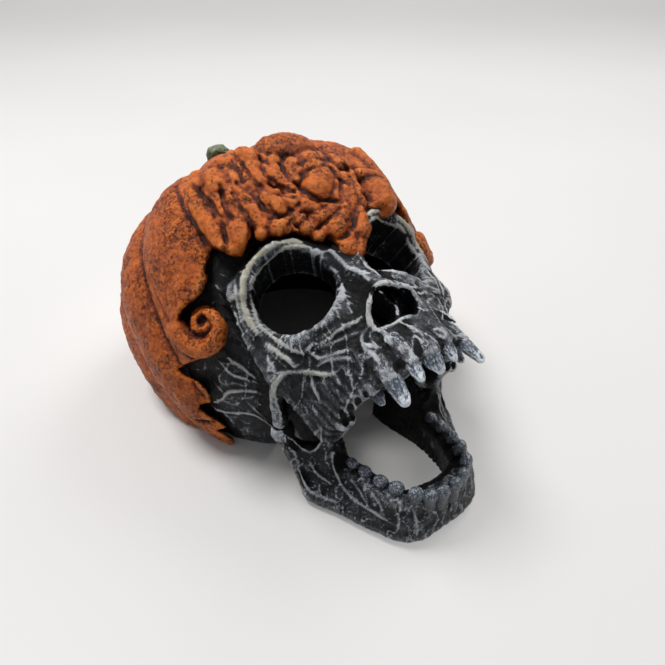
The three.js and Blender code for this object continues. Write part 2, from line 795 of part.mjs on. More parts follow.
const ornament = new THREE.Group();
ornament.add(headGroup, jawGroup);
ornament.updateMatrixWorld(true);
const extent = new THREE.Box3().setFromObject(ornament, true);
const middle = extent.getCenter(new THREE.Vector3());
ornament.position.set(-middle.x, -middle.y, -extent.min.z);

export default ornament;
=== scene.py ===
import math

import bpy
import numpy as np
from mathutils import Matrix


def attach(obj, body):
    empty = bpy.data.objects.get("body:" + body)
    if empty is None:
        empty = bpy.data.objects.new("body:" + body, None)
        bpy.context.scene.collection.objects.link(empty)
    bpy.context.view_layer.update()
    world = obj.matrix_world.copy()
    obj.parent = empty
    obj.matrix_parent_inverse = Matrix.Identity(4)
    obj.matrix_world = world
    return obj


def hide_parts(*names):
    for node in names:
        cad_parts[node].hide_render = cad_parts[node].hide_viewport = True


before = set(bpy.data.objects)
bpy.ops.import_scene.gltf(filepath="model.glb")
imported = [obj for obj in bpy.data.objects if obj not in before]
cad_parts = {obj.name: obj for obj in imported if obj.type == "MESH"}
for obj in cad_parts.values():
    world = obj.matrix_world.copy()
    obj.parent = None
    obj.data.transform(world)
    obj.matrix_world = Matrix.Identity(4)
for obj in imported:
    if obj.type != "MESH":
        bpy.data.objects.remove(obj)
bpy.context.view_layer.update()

import openvdb
from mathutils import Matrix, Vector, noise

# Places in this script are in millimetres, and the scene is in metres
MM = 0.001

# The head's own frame: X across, Y away from the face, Z towards the crown
HEAD_TILT = math.radians(65)
HEAD_COS, HEAD_SIN = math.cos(HEAD_TILT), math.sin(HEAD_TILT)
HEAD_CENTRE = np.array([0.0, 41.14, 36.7])
MIRROR = np.array([-1, 1, 1])
UP = np.array([0.0, 0.0, 1.0])

# The camera of the photograph, and how far along its sight lines the object is looked for
PHOTO_SIZE = 665
FOCAL_PIXELS = 510
SENSOR_WIDTH = 36
CAMERA_AZIMUTH = math.radians(-34.2)
CAMERA_ELEVATION = math.radians(40)
CAMERA_PLACE = np.array([-101.4, -167.86, 200.0])
SIGHT_START, SIGHT_END, SIGHT_STEP = 120, 380, 0.4

FINE_STEP = 0.7
STEP = FINE_STEP
FAR = 60.0

# How softly a form melts into what it joins or is cut from
SHARP, FIRM, SOFT, LOOSE = 0.8, 2.0, 3.0, 4.0

PUMPKIN = {"across": 78.5, "front": 87.5, "back": 73.0, "top": 57.0, "under": 87.0}
SQUARENESS = 2.23
SKIN = 9.0
RIBS = 14
RIB_DEPTH = 5.8
RIB_PHASE = math.radians(-33)
RIB_SHARPNESS = 0.6
STEM_LEAN = math.radians(22)
DIMPLE_DEPTH = 7.0
DIMPLE_RADIUS = 20.0
SKULL_UNDER = 93.0
SKULL_WALL = 4.0
SKULL_SUNK = -1.4

CHEEK = 42.4
FACE_REACH = 92.8
FACE_DROP = 100.0


# Frames

def head_to_world(points):
    x, y, z = np.atleast_2d(np.asarray(points, float)).T
    turned = np.stack([x, y * HEAD_COS + z * HEAD_SIN, -y * HEAD_SIN + z * HEAD_COS], axis=1)
    return turned + HEAD_CENTRE


def world_to_head(points, directions=False):
    points = np.atleast_2d(np.asarray(points, float))
    x, y, z = (points if directions else points - HEAD_CENTRE).T
    return np.stack([x, y * HEAD_COS - z * HEAD_SIN, y * HEAD_SIN + z * HEAD_COS], axis=1)


def stay(points):
    return np.atleast_2d(np.asarray(points, float))


def face_at(across, forward, down):
    """A place in the head's frame, as shares of the cheeks' half width, the face's reach and its drop."""
    return np.array([across * CHEEK, -(forward * FACE_REACH), -(down * FACE_DROP)], float)


def face_row(shares, side=1):
    return [face_at(side * across, forward, down) for across, forward, down in shares]


def both_sides(half):
    return half + [(-across, forward, down) for across, forward, down in half[-2::-1]]


def heading(turn):
    return np.array([math.cos(turn), math.sin(turn), 0])


def camera_axes():
    cos_a, sin_a = math.cos(CAMERA_AZIMUTH), math.sin(CAMERA_AZIMUTH)
    cos_e, sin_e = math.cos(CAMERA_ELEVATION), math.sin(CAMERA_ELEVATION)
    right = np.array([cos_a, sin_a, 0])
    up = np.array([-sin_a * sin_e, cos_a * sin_e, cos_e])
    back = np.array([sin_a * cos_e, -cos_a * cos_e, sin_e])
    return right, up, back


def sight(pixel):
    """The direction from the camera through a pixel of the photograph."""
    right, up, back = camera_axes()
    half = PHOTO_SIZE / 2
    way = right * (pixel[0] - half) / FOCAL_PIXELS + up * (half - pixel[1]) / FOCAL_PIXELS - back
    return way / np.linalg.norm(way)


# Clay: a grid of distances, below zero inside the solid

class Clay:
    def __init__(self, low, high, step=STEP):
        self.low = np.array(low, float)
        self.step = step
        self.count = np.ceil((np.array(high) - self.low) / step).astype(int) + 1
        self.values = np.full(self.count, FAR, np.float32)

    def window(self, low, high):
        start = np.clip(np.floor((low - self.low) / self.step).astype(int), 0, self.count - 1)
        stop = np.clip(np.ceil((high - self.low) / self.step).astype(int) + 1, 1, self.count)
        cut = tuple(slice(a, b) for a, b in zip(start, stop))
        axes = [
            (self.low[k] + self.step * np.arange(start[k], stop[k])).astype(np.float32)
            for k in range(3)
        ]
        return cut, (axes[0][:, None, None], axes[1][None, :, None], axes[2][None, None, :])

    def everywhere(self):
        return self.window(self.low, self.low + self.count * self.step)[1]

    def join(self, shape, blend=1.0):
        cut, axes = self.window(*shape.box(blend))
        self.values[cut] = smooth_min(self.values[cut], shape.distance(*axes), blend)

    def carve(self, shape, blend=1.0):
        cut, axes = self.window(*shape.box(blend))
        self.values[cut] = smooth_max(self.values[cut], -shape.distance(*axes), blend)

    def join_both(self, shape, blend=1.0):
        for one in (shape, shape.mirrored()):
            self.join(one, blend)

    def carve_both(self, shape, blend=1.0):
        for one in (shape, shape.mirrored()):
            self.carve(one, blend)

    def sample(self, points):
        """Distances at scattered places, between the eight nearest cells."""
        place = (np.asarray(points) - self.low) / self.step
        place = np.clip(place, 0, self.count - 1.001)
        cell = np.floor(place).astype(int)
        share = place - cell
        total = np.zeros(len(place))
        for corner in np.ndindex(2, 2, 2):
            weight = np.prod(np.where(corner, share, 1 - share), axis=1)
            index = cell + corner
            total += weight * self.values[index[:, 0], index[:, 1], index[:, 2]]
        return total

    def cast(self, pixels, sink=0.0, to_local=world_to_head):
        """Where the sight lines of some pixels meet the clay, or that far below its surface."""
        found = []
        start = to_local(CAMERA_PLACE)[0]
        for pixel in pixels:
            way = to_local(CAMERA_PLACE + sight(pixel))[0] - start
            line = start + np.arange(SIGHT_START, SIGHT_END, SIGHT_STEP)[:, None] * way
            inside = np.all((line > self.low) & (line < self.low + self.step * (self.count - 1)), axis=1)
            hit = inside & (self.sample(line) < 0)
            if hit.any():
                place = line[np.argmax(hit)]
                found.append(place - sink * self.outward(place))
        return found

    def limb(self, pixels, radii, sink, steps=6):
        return Limb(self.cast(pixels, sink), radii, steps)

    def outward(self, place):
        steps = np.eye(3) * self.step
        slope = self.sample(place + steps) - self.sample(place - steps)
        return slope / max(np.linalg.norm(slope), 1e-6)


def smooth_min(a, b, blend):
    reach = np.maximum(blend - np.abs(a - b), 0) / blend
    return np.minimum(a, b) - reach * reach * blend / 4


def smooth_max(a, b, blend):
    return -smooth_min(-a, -b, blend)


def spline(points, steps=6):
    """A smooth curve through the points, as in a bent wire."""
    points = np.array(points, float)
    if len(points) < 3:
        return points
    ends = np.vstack([2 * points[0] - points[1], points, 2 * points[-1] - points[-2]])
    rows = []
    for a, b, c, d in zip(ends[:-3], ends[1:-2], ends[2:-1], ends[3:]):
        for t in np.arange(steps) / steps:
            rows.append(0.5 * (2 * b + (c - a) * t + (2 * a - 5 * b + 4 * c - d) * t ** 2
                               + (3 * b - a - 3 * c + d) * t ** 3))
    return np.vstack(rows + [points[-1]])


class Limb:
    """A round-ended tube through some points, with a radius at each."""

    THINNEST = 0.2

    def __init__(self, points, radii, steps=6):
        points = [np.asarray(point, float) for point in points]
        radii = np.broadcast_to(np.array(radii, float), len(points))
        path = spline([np.append(p, r) for p, r in zip(points, radii)], steps)
        self.points, self.radii = path[:, :3], np.maximum(path[:, 3], self.THINNEST)

    def mirrored(self):
        return Limb(self.points * MIRROR, self.radii, 1)

    def box(self, margin):
        grow = self.radii.max() + margin + 2 * STEP
        return self.points.min(0) - grow, self.points.max(0) + grow

    def distance(self, x, y, z):
        best = None
        for a, b, ra, rb in zip(self.points[:-1], self.points[1:], self.radii[:-1], self.radii[1:]):
            along = b - a
            length = max(float(along @ along), 1e-9)
            px, py, pz = x - a[0], y - a[1], z - a[2]
            t = np.clip((px * along[0] + py * along[1] + pz * along[2]) / length, 0, 1)
            gap = np.sqrt((px - t * along[0]) ** 2 + (py - t * along[1]) ** 2
                          + (pz - t * along[2]) ** 2) - (ra + t * (rb - ra))
            best = gap if best is None else np.minimum(best, gap)
        return best.astype(np.float32)


class Ball:
    """An ellipsoid along the axes."""

    def __init__(self, centre, radii):
        self.centre = np.asarray(centre, float)
        self.radii = np.broadcast_to(np.array(radii, float), 3)

    def mirrored(self):
        return Ball(self.centre * MIRROR, self.radii)

    def box(self, margin):
        grow = self.radii.max() + margin + 2 * STEP
        return self.centre - grow, self.centre + grow

    def distance(self, x, y, z):
        local = [axis - middle for axis, middle in zip((x, y, z), self.centre)]
        near = np.sqrt(sum((v / r) ** 2 for v, r in zip(local, self.radii)))
        slope = np.sqrt(sum((v / r ** 2) ** 2 for v, r in zip(local, self.radii)))
        return (near * (near - 1) / np.maximum(slope, 1e-6)).astype(np.float32)


class Sheet:
    """A round-edged wall between two rows of points."""

    def __init__(self, near, far, radius, strips=40):
        near, far = spline(near), spline(far)
        shares = np.linspace(0, 1, strips)
        self.limbs = [Limb([part_way(near, share), part_way(far, share)], radius) for share in shares]

    def box(self, margin):
        boxes = [limb.box(margin) for limb in self.limbs]
        return np.min([b[0] for b in boxes], 0), np.max([b[1] for b in boxes], 0)

    def distance(self, x, y, z):
        return np.minimum.reduce([limb.distance(x, y, z) for limb in self.limbs])


def part_way(path, share):
    place = share * (len(path) - 1)
    low = min(int(place), len(path) - 2)
    return path[low] + (place - low) * (path[low + 1] - path[low])


class Pipe:
    """A round bar along an axis, hollow where it has an inner radius."""

    def __init__(self, centre, axis, inner, outer, span):
        self.centre = np.asarray(centre, float)
        self.axis = np.asarray(axis, float) / np.linalg.norm(axis)
        self.inner, self.outer, self.span = inner, outer, span

    def box(self, margin):
        grow = math.hypot(self.outer, max(np.abs(self.span))) + margin + 2 * STEP
        return self.centre - grow, self.centre + grow

    def distance(self, x, y, z):
        px, py, pz = x - self.centre[0], y - self.centre[1], z - self.centre[2]
        along = px * self.axis[0] + py * self.axis[1] + pz * self.axis[2]
        across = np.sqrt(np.maximum(px * px + py * py + pz * pz - along * along, 0))
        ends = np.abs(along - sum(self.span) / 2) - (self.span[1] - self.span[0]) / 2
        gap = np.maximum(across - self.outer, ends)
        return np.maximum(gap, self.inner - across).astype(np.float32)


def outline_gap(outline, u, v):
    """Distance to a closed outline drawn on two axes, below zero inside it."""
    gap = np.full(np.broadcast_shapes(u.shape, v.shape), FAR, np.float32)
    inside = np.zeros(gap.shape, bool)
    for a, b in zip(outline, np.roll(outline, -1, axis=0)):
        along = b - a
        t = np.clip(((u - a[0]) * along[0] + (v - a[1]) * along[1]) / (along @ along), 0, 1)
        gap = np.minimum(gap, np.hypot(u - a[0] - t * along[0], v - a[1] - t * along[1]))
        if a[1] != b[1]:
            crosses = (a[1] > v) != (b[1] > v)
            inside ^= crosses & (u < a[0] + (v - a[1]) * along[0] / along[1])
    return np.where(inside, -gap, gap)


def side_prism(outline, span, x, y, z):
    """Distance to an outline drawn from the side and carried across the head between two places."""
    middle, half = sum(span) / 2, (span[1] - span[0]) / 2
    return np.maximum(outline_gap(outline, y, z), np.abs(x - middle) - half).astype(np.float32)


def floor_height(x, y, z):
    """Height over the floor, at places in the head's frame."""
    return (x * 0 - y * HEAD_SIN + z * HEAD_COS + HEAD_CENTRE[2]).astype(np.float32)


# The pumpkin's form

def form(x, y, z, inset, under):
    """Distance to the plain form, which has its own reach to each side."""
    across = (np.abs(x) / (PUMPKIN["across"] - inset)) ** SQUARENESS
    along = (np.abs(y) / (np.where(y < 0, PUMPKIN["front"], PUMPKIN["back"]) - inset)) ** SQUARENESS
    up = (np.abs(z) / (np.where(z > 0, PUMPKIN["top"], under) - inset)) ** SQUARENESS
    near = np.maximum((across + along + up) ** (1 / SQUARENESS), 0.05)
    reach = np.sqrt(x * x + y * y + z * z)
    return (reach * (1 - 1 / near)).astype(np.float32)


def ribbing(x, y, z):
    """How far the skin lies below the plain form, in its grooves and round the stem."""
    cos, sin = math.cos(STEM_LEAN), math.sin(STEM_LEAN)
    reach = np.maximum(np.sqrt(x * x + y * y + z * z), 1)
    upward = np.clip((z * cos - y * sin) / reach, -1, 1)
    round_ = np.arctan2(x, -y * cos - z * sin)
    crest = np.abs(np.sin(RIBS / 2 * (round_ - RIB_PHASE))) ** RIB_SHARPNESS
    groove = RIB_DEPTH * (1 - crest) * np.sqrt(np.maximum(0, 1 - upward * upward))
    from_stem = np.arccos(upward) * reach / DIMPLE_RADIUS
    return (groove + DIMPLE_DEPTH * np.exp(-from_stem ** 2)).astype(np.float32)


# Turning clay into pieces

BAND = 3.0
RELAX_SHARE = 0.6
RELAX_RATE = 1.6
MOST_ROUNDS = 60
FINE_REACH, BROAD_REACH = 1.4, 4.0


def mesh_from(clay, to_world):
    """The clay's surface as points in millimetres of the scene's frame, and its four-sided faces."""
    grid = openvdb.FloatGrid()
    grid.background = BAND
    grid.copyFromArray(np.clip(clay.values / clay.step, -BAND, BAND))
    points, quads = grid.convertToQuads(0.0)
    points, quads = largest_shell(points, quads)
    return to_world(clay.low + points * clay.step), quads


def largest_shell(points, quads):
    """Leaves out loose crumbs: only the faces joined to the largest surface stay."""
    label = np.arange(len(points))
    while True:
        lowest = label[quads].min(1)
        fresh = label.copy()
        np.minimum.at(fresh, quads.ravel(), np.repeat(lowest, 4))
        fresh = fresh[fresh]
        if (fresh == label).all():
            break
        label = fresh
    names, sizes = np.unique(label[quads[:, 0]], return_counts=True)
    keep = label[quads[:, 0]] == names[np.argmax(sizes)]
    used = np.unique(quads[keep])
    index = np.zeros(len(points), int)
    index[used] = np.arange(len(used))
    return points[used], index[quads[keep]]


def edge_pairs(quads):
    pairs = np.vstack([quads[:, [k, (k + 1) % 4]] for k in range(4)])
    return np.unique(np.sort(pairs, axis=1), axis=0)


def relaxed(values, pairs, rounds):
    """Each value drawn towards the mean of its neighbours, several times over."""
    count = np.bincount(pairs.ravel(), minlength=len(values)).astype(float)
    count = np.maximum(count, 1)
    values = np.array(values, float)
    for _ in range(rounds):
        total = np.stack([
            np.bincount(pairs[:, 0], values[pairs[:, 1], k], len(values))
            + np.bincount(pairs[:, 1], values[pairs[:, 0], k], len(values))
            for k in range(values.shape[1])
        ], axis=1)
        values = (1 - RELAX_SHARE) * values + RELAX_SHARE * total / count[:, None]
    return values


def normals_of(points, quads):
    a, b, c, d = (points[quads[:, k]] for k in range(4))
    face = np.cross(c - a, d - b)
    total = np.stack([
        sum(np.bincount(quads[:, k], face[:, axis], len(points)) for k in range(4))
        for axis in range(3)
    ], axis=1)
    return total / np.maximum(np.linalg.norm(total, axis=1, keepdims=True), 1e-9)


def hollowness(points, quads, pairs, reach):
    """How far each point stands out of its surroundings, in millimetres: grooves are below zero."""
    rounds = max(1, round(RELAX_RATE * (reach / STEP) ** 2))
    smooth = relaxed(points, pairs, min(rounds, MOST_ROUNDS))
    return np.einsum("ij,ij->i", points - smooth, normals_of(smooth, quads))


NOISE_SHIFT = (17.3, 5.1, 11.7)
NOISE_FALL, NOISE_STEP, NOISE_OCTAVES = 0.8, 2.1, 3


def rough(points, size, seed):
    """Seeded noise at each point, about from -1 to 1, with features of the given size."""
    shift = Vector([seed * part for part in NOISE_SHIFT])
    places = [Vector(point) / size + shift for point in points]
    return np.array([noise.fractal(place, NOISE_FALL, NOISE_STEP, NOISE_OCTAVES) for place in places])


def weathered(points, quads, depth, size, seed):
    """The surface worn and pitted a little by seeded noise."""
    return points + normals_of(points, quads) * (depth * rough(points, size, seed))[:, None]


def place_in_scene(name, data):
    placed = bpy.data.objects.new(name, data)
    bpy.context.scene.collection.objects.link(placed)
    return placed


def build(name, points, quads, material, nodes, marks, flow=None):
    """A piece on the body, with its marks and its flow kept at its points for its material."""
    points = np.column_stack([points[:, :2], np.maximum(points[:, 2], 0)])
    mesh = bpy.data.meshes.new(name)
    mesh.from_pydata((points * MM).tolist(), [], quads.tolist())
    for mark, values in marks.items():
        layer = mesh.attributes.new(mark, "FLOAT", "POINT")
        layer.data.foreach_set("value", np.asarray(values, np.float32))
    if flow is not None:
        layer = mesh.attributes.new("flow", "FLOAT_VECTOR", "POINT")
        layer.data.foreach_set("vector", flow.astype(np.float32).ravel())
    mesh.polygons.foreach_set("use_smooth", np.ones(len(mesh.polygons), bool))
    mesh.materials.append(material)
    piece = place_in_scene(name, mesh)
    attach(piece, "root")
    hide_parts(*nodes)


def surface_marks(points, quads):
    pairs = edge_pairs(quads)
    return {
        "fine": hollowness(points, quads, pairs, FINE_REACH),
        "broad": hollowness(points, quads, pairs, BROAD_REACH),
    }


class Surroundings:
    """Distances to the nearest surface, out to a wide reach, for telling open places from hollows."""

    STEP = 1.6
    REACHES = (2.5, 5.0, 10.0, 20.0)
    MARGIN = 4
    INNER_BAND = 3.0

    def __init__(self, meshes):
        points, quads, total = [], [], 0
        for these, faces in meshes:
            points.append(these)
            quads.append(faces + total)
            total += len(these)
        points = np.vstack(points)
        band = max(self.REACHES) / self.STEP + 1
        grid = openvdb.FloatGrid.createLevelSetFromPolygons(
            (points / self.STEP).astype(np.float32), quads=np.vstack(quads).astype(np.uint32),
            exBandWidth=band, inBandWidth=self.INNER_BAND)
        margin = max(self.REACHES) + self.MARGIN
        self.field = Clay(points.min(0) - margin, points.max(0) + margin, self.STEP)
        corner = np.floor(self.field.low / self.STEP).astype(int)
        self.field.low = corner * self.STEP
        grid.copyToArray(self.field.values, ijk=tuple(int(n) for n in corner))
        self.field.values *= self.STEP

    def openness(self, points, normals):
        """One where nothing stands near in front of the surface, nought deep in a hollow."""
        shares = [self.field.sample(points + reach * normals) / reach for reach in self.REACHES]
        return np.mean(np.clip(shares, 0, 1), 0)


THREAD_SHIFT = (7.7, 13.1, 3.3)
THREAD_NOISE = (1.0, 2.0, 2)


def threads(flow, width, seed):
    """One along thin lines that run with the flow and meet, nought between them."""
    shift = Vector([seed * part for part in THREAD_SHIFT])
    level = np.array([noise.fractal(Vector(place) + shift, *THREAD_NOISE) for place in flow])
    return np.clip(1 - np.abs(level) / width, 0, 1)


def eye_axis(side):
    return np.array([side * math.sin(ORBIT_SPLAY), -math.cos(ORBIT_SPLAY), 0])


def eye_flow(points):
    """Coordinates that change slowly outwards from the nearer eye and quickly round it."""
    flow = np.zeros((len(points), 3))
    for side in (1, -1):
        axis = eye_axis(side)
        away = points - face_row([ORBIT], side)[0]
        away = away - (away @ axis)[:, None] * axis
        reach = np.linalg.norm(away, axis=1)
        turn = np.arctan2(away[:, 2], away @ np.cross(axis, UP))
        coiled = turn + reach * FLOW_CURL * side
        ours = points[:, 0] * side >= 0
        outward = reach / FLOW_LENGTH + FLOW_APART * side
        coil = FLOW_COUNT * np.cos(coiled), FLOW_COUNT * np.sin(coiled)
        flow[ours] = np.stack([*coil, outward], axis=1)[ours]
    return flow


def jaw_flow(points):
    return points / JAW_FLOW_SIZES


def nearness(points, limbs, softness):
    """One on the lines of some limbs, and falling off beyond their radius."""
    best = np.full(len(points), FAR)
    for limb in limbs:
        low, high = limb.box(2 * softness)
        near = np.all((points > low) & (points < high), axis=1)
        if near.any():
            x, y, z = points[near].T
            best[near] = np.minimum(best[near], limb.distance(x, y, z))
    return np.clip(1 - (best + softness / 2) / softness, 0, 1)


# The skin: lumps and grooves are placed by pixels of the photograph and lie on the form there.
# The rows of lumps, grooves and creases hold a radius and the pixels that it runs through

SKIN_LOW, SKIN_HIGH = (-84.5, -95.5, -91.0), (84.5, 79.0, 65.0)
LUMP_PIXELS = [
    (6.5, (272, 150), (285, 147), (298, 149)), (4.4, (243, 157), (250, 159)),
    (3.8, (218, 167), (229, 165)), (4.6, (213, 179), (217, 187)), (4.2, (198, 180), (197, 187)),
    (3.5, (252, 169), (259, 181)), (2.6, (234, 179), (236, 183)), (2.6, (240, 190), (249, 198)),
    (2.1, (249, 186), (263, 189), (276, 197)), (3.0, (274, 162)),
    (2.6, (268, 172), (280, 179), (291, 190), (294, 199)), (3.0, (292, 164)), (4.2, (309, 160)),
    (2.4, (288, 176)), (5.6, (316, 173), (319, 182), (316, 191)), (2.2, (334, 185)), (3.0, (337, 197)),
    (3.2, (339, 164)), (3.0, (348, 178), (354, 190), (353, 204)), (3.0, (361, 174), (375, 177)),
    (7.0, (378, 193), (382, 203)), (4.3, (268, 200), (277, 210)), (3.0, (287, 202), (292, 204)),
    (3.0, (305, 206), (313, 209)), (3.8, (319, 217)), (2.9, (298, 218)), (3.0, (308, 228)),
    (2.9, (319, 237)), (4.3, (336, 228)), (2.6, (343, 216)), (4.3, (348, 249)),
    (3.8, (360, 220), (362, 231)), (3.0, (362, 245), (358, 256)), (4.1, (281, 228)), (2.7, (261, 234)),
    (3.0, (252, 210), (263, 225)), (4.6, (238, 231), (242, 239)), (3.6, (233, 249)),
    (2.8, (215, 193), (224, 213)), (2.6, (228, 190), (232, 200)), (2.2, (239, 203), (243, 209)),
    (3.2, (194, 196), (203, 217), (215, 234)), (3.0, (218, 239), (224, 249)),
    (2.7, (354, 206), (358, 211)), (2.4, (330, 209)), (2.4, (330, 168)), (2.4, (299, 172)),
]
LUMP_SINK_SHARE = 0.34
LUMP_SWELL = 1.22
LUMP_BLEND = 0.4
FIELD_RISE = 1.0
FIELD_FADE = 5
FIELD_START = 20
LUMP_FIELD = [
    (200, 172), (232, 152), (262, 150), (300, 152), (345, 158), (385, 180), (396, 204), (364, 250),
    (345, 255), (300, 230), (255, 233), (235, 250), (215, 240), (195, 205),
]
FILLER_COUNT = 700
FILLER_SINK_SHARE = 0.3
FILLER_DEPTH_SHARE = 0.8
FILLER_RADII = (1.9, 2.8)
FILLER_LEAN = (0.1, 1.1)
FILLER_REACH = (1, 9)
FILLER_SPACING = 3.3
MIRRORED_FROM = 36
FAR_WINDOW_FROM = 42

GROOVE_PIXELS = [
    (1.2, (190, 220), (198, 231), (211, 248), (218, 253)),
    (1.5, (134, 251), (138, 266), (148, 286), (162, 317), (173, 339), (187, 353), (202, 361)),
    (1.1, (160, 395), (173, 408), (191, 418), (212, 425)), (1.1, (188, 186), (184, 203), (186, 214)),
]
GROOVE_SINK = 0.6
GROOVE_BLEND = 1.4
CREASE_PIXELS = [
    (0.9, (175, 185), (185, 210), (197, 227), (210, 250)),
    (0.8, (192, 185), (207, 200), (220, 217), (226, 240), (224, 257)),
    (0.8, (220, 185), (224, 205), (230, 217)), (0.9, (232, 192), (242, 210), (250, 222), (252, 250)),
    (0.7, (237, 182), (255, 197), (265, 210), (280, 217)),
    (0.8, (242, 165), (257, 185), (277, 195), (295, 197)),
    (0.7, (260, 157), (265, 175), (280, 187), (295, 192)),
    (0.8, (280, 165), (290, 180), (305, 192), (320, 200), (342, 202)),
    (0.8, (306, 172), (311, 168), (327, 165), (340, 180), (342, 200)),
    (0.8, (345, 165), (355, 185), (360, 200), (355, 220)), (0.6, (232, 160), (240, 172), (243, 182)),
    (0.6, (268, 205), (278, 218), (290, 214), (300, 203)),
    (0.6, (284, 236), (292, 220), (300, 212), (312, 213), (326, 206)),
    (0.6, (318, 228), (330, 218), (340, 208)), (0.6, (330, 240), (345, 238), (354, 226), (352, 214)),
]
CREASE_STEP = 4
CREASE_SINK = 0.1
CREASE_BLEND = 0.9

# The skin's edge over the face, as the camera sees it: along the brow, then down the temple
BROW_EDGE = [
    (400, 200), (399, 208), (392, 216), (383, 220), (372, 217), (371, 231), (367, 239), (365, 252),
    (360, 262), (351, 260), (340, 255), (337, 246), (326, 238), (323, 242), (313, 242), (309, 237),
    (301, 237), (294, 231), (288, 235), (280, 238), (268, 237), (263, 241), (256, 239), (253, 228),
    (250, 237), (246, 246), (242, 256), (231, 258), (223, 253),
]
TEMPLE_EDGE = [
    (214, 250), (211, 258), (208, 266), (207, 271), (209, 275), (209, 280), (206, 286), (203, 293),
    (198, 300), (190, 305), (183, 312), (180, 322), (182, 333), (189, 340), (198, 344), (208, 346),
    (213, 351), (208, 357), (200, 361), (190, 364), (181, 369), (186, 374), (198, 379), (207, 387),
    (212, 395), (211, 402), (201, 404), (199, 408), (207, 414), (220, 421), (226, 427), (218, 430),
    (232, 438), (240, 470),
]
EDGE_END = [(470, 470), (470, 200)]
EDGE_BLEND = 2.6
BROW_REACH = 20
TEMPLE_START = 38
TEMPLE_REACH = -16

CURL_PIXELS = [
    (174, 330), (184, 343), (197, 349), (208, 347), (216, 338), (217, 327), (212, 317), (205, 313),
]
CURL_RADII = [4.0, 4.4, 4.2, 3.9, 3.5, 3.0, 2.3, 1.6]
CURL_SINK = 1.6
CURL_HOLE_PIXELS = [(203, 316), (199, 322)]
CURL_HOLE_RADIUS, CURL_HOLE_SINK = 2.6, 2.5
CURL_GROOVE_PIXELS = [(204, 305), (193, 309), (186, 316), (184, 326), (187, 334), (194, 338)]
CURL_GROOVE_RADIUS = 1.4
CURL_FOLD_PIXELS = [(190, 320), (191, 329), (197, 331), (205, 327)]
CURL_FOLD_RADIUS, CURL_FOLD_SINK = 1.5, 2.8
CURL_MIDDLE = (197, 328)
CURL_BED_RADIUS, CURL_BED_SINK, CURL_BED_BLEND = 7.5, 8.5, 1.5

EDGE_BEYOND = 190
NOISE_SEED = 7
FLOW_COUNT = 4.6
FLOW_LENGTH = 13
FLOW_CURL = 0.012
FLOW_APART = 9
JAW_FLOW_SIZES = np.array([4.0, 4.0, 11.0])


class Stencil:
    """What the camera sees inside an outline of pixels, for places within some bounds of the head.

    The mirrored stencil is the same cut on the other side of the head."""

    def __init__(self, outline, low, high, mirrored=False):
        self.outline = np.array(outline, float)
        self.low, self.high = np.array(low, float), np.array(high, float)
        self.mirrored = mirrored

    def box(self, margin):
        return self.low - margin, self.high + margin

    def distance(self, x, y, z):
        shape = np.broadcast_shapes(x.shape, y.shape, z.shape)
        places = [np.broadcast_to(axis, shape) for axis in (-x if self.mirrored else x, y, z)]
        world = [
            places[0],
            places[1] * HEAD_COS + places[2] * HEAD_SIN,
            places[2] * HEAD_COS - places[1] * HEAD_SIN,
        ]
        world = [axis + origin - eye for axis, origin, eye in zip(world, HEAD_CENTRE, CAMERA_PLACE)]
        across, up, back = (sum(axis * part for axis, part in zip(world, row)) for row in camera_axes())
        depth = -back
        u = across / depth * FOCAL_PIXELS + PHOTO_SIZE / 2
        v = PHOTO_SIZE / 2 - up / depth * FOCAL_PIXELS
        gap = outline_gap(self.outline, u.astype(np.float32), v.astype(np.float32))
        bounds = [
            np.broadcast_to(np.abs(axis - (a + b) / 2) - (b - a) / 2, shape)
            for axis, a, b in zip((x, y, z), self.low, self.high)
        ]
        return np.maximum.reduce([gap * depth / FOCAL_PIXELS] + bounds).astype(np.float32)


def window_stencils():
    outline = BROW_EDGE + TEMPLE_EDGE + EDGE_END
    low, high = -EDGE_BEYOND, EDGE_BEYOND
    return [
        Stencil(outline, (low, low, low), (FAR_WINDOW_FROM, -BROW_REACH, high)),
        Stencil(outline, (low, low, low), (-TEMPLE_START, -TEMPLE_REACH, high)),
        Stencil(outline, (FAR_WINDOW_FROM - 2, low, low), (high, -TEMPLE_REACH, high), mirrored=True),
    ]


def closely(pixels, step):
    """The same path with a pixel at every step or so along it."""
    path = []
    for start, end in zip(pixels, pixels[1:]):
        count = max(1, round(math.dist(start, end) / step))
        path += [tuple(np.array(start) + (np.array(end) - start) * turn / count) for turn in range(count)]
    return path + [pixels[-1]]


def rounded(places, radius):
    return Limb(places, radius) if len(places) > 1 else Ball(places[0], radius)


def filler_lumps(clay, bare):
    """Small lumps that fill the hollows between the traced ones."""
    draw = np.random.default_rng(NOISE_SEED)
    field = np.array(LUMP_FIELD, float)
    low, high = field.min(0), field.max(0)
    spots = low + draw.random((FILLER_COUNT, 2)) * (high - low)
    spots = spots[outline_gap(field, spots[:, 0], spots[:, 1]) < 0]
    taken, found = [], []
    for spot in spots:
        radius = draw.uniform(*FILLER_RADII)
        lean = draw.uniform(*FILLER_LEAN)
        reach = draw.uniform(*FILLER_REACH)
        onward = spot + reach * np.array([math.sin(lean), math.cos(lean)])
        places = bare.cast([spot, onward], radius * FILLER_SINK_SHARE)
        if len(places) < 2:
            continue
        free = all(np.linalg.norm(place - other) > FILLER_SPACING for other in taken for place in places)
        if free and clay.sample(np.array(places)).min() > -radius * FILLER_DEPTH_SHARE:
            taken += places
            found.append(Limb(places, radius, 2))
    return found


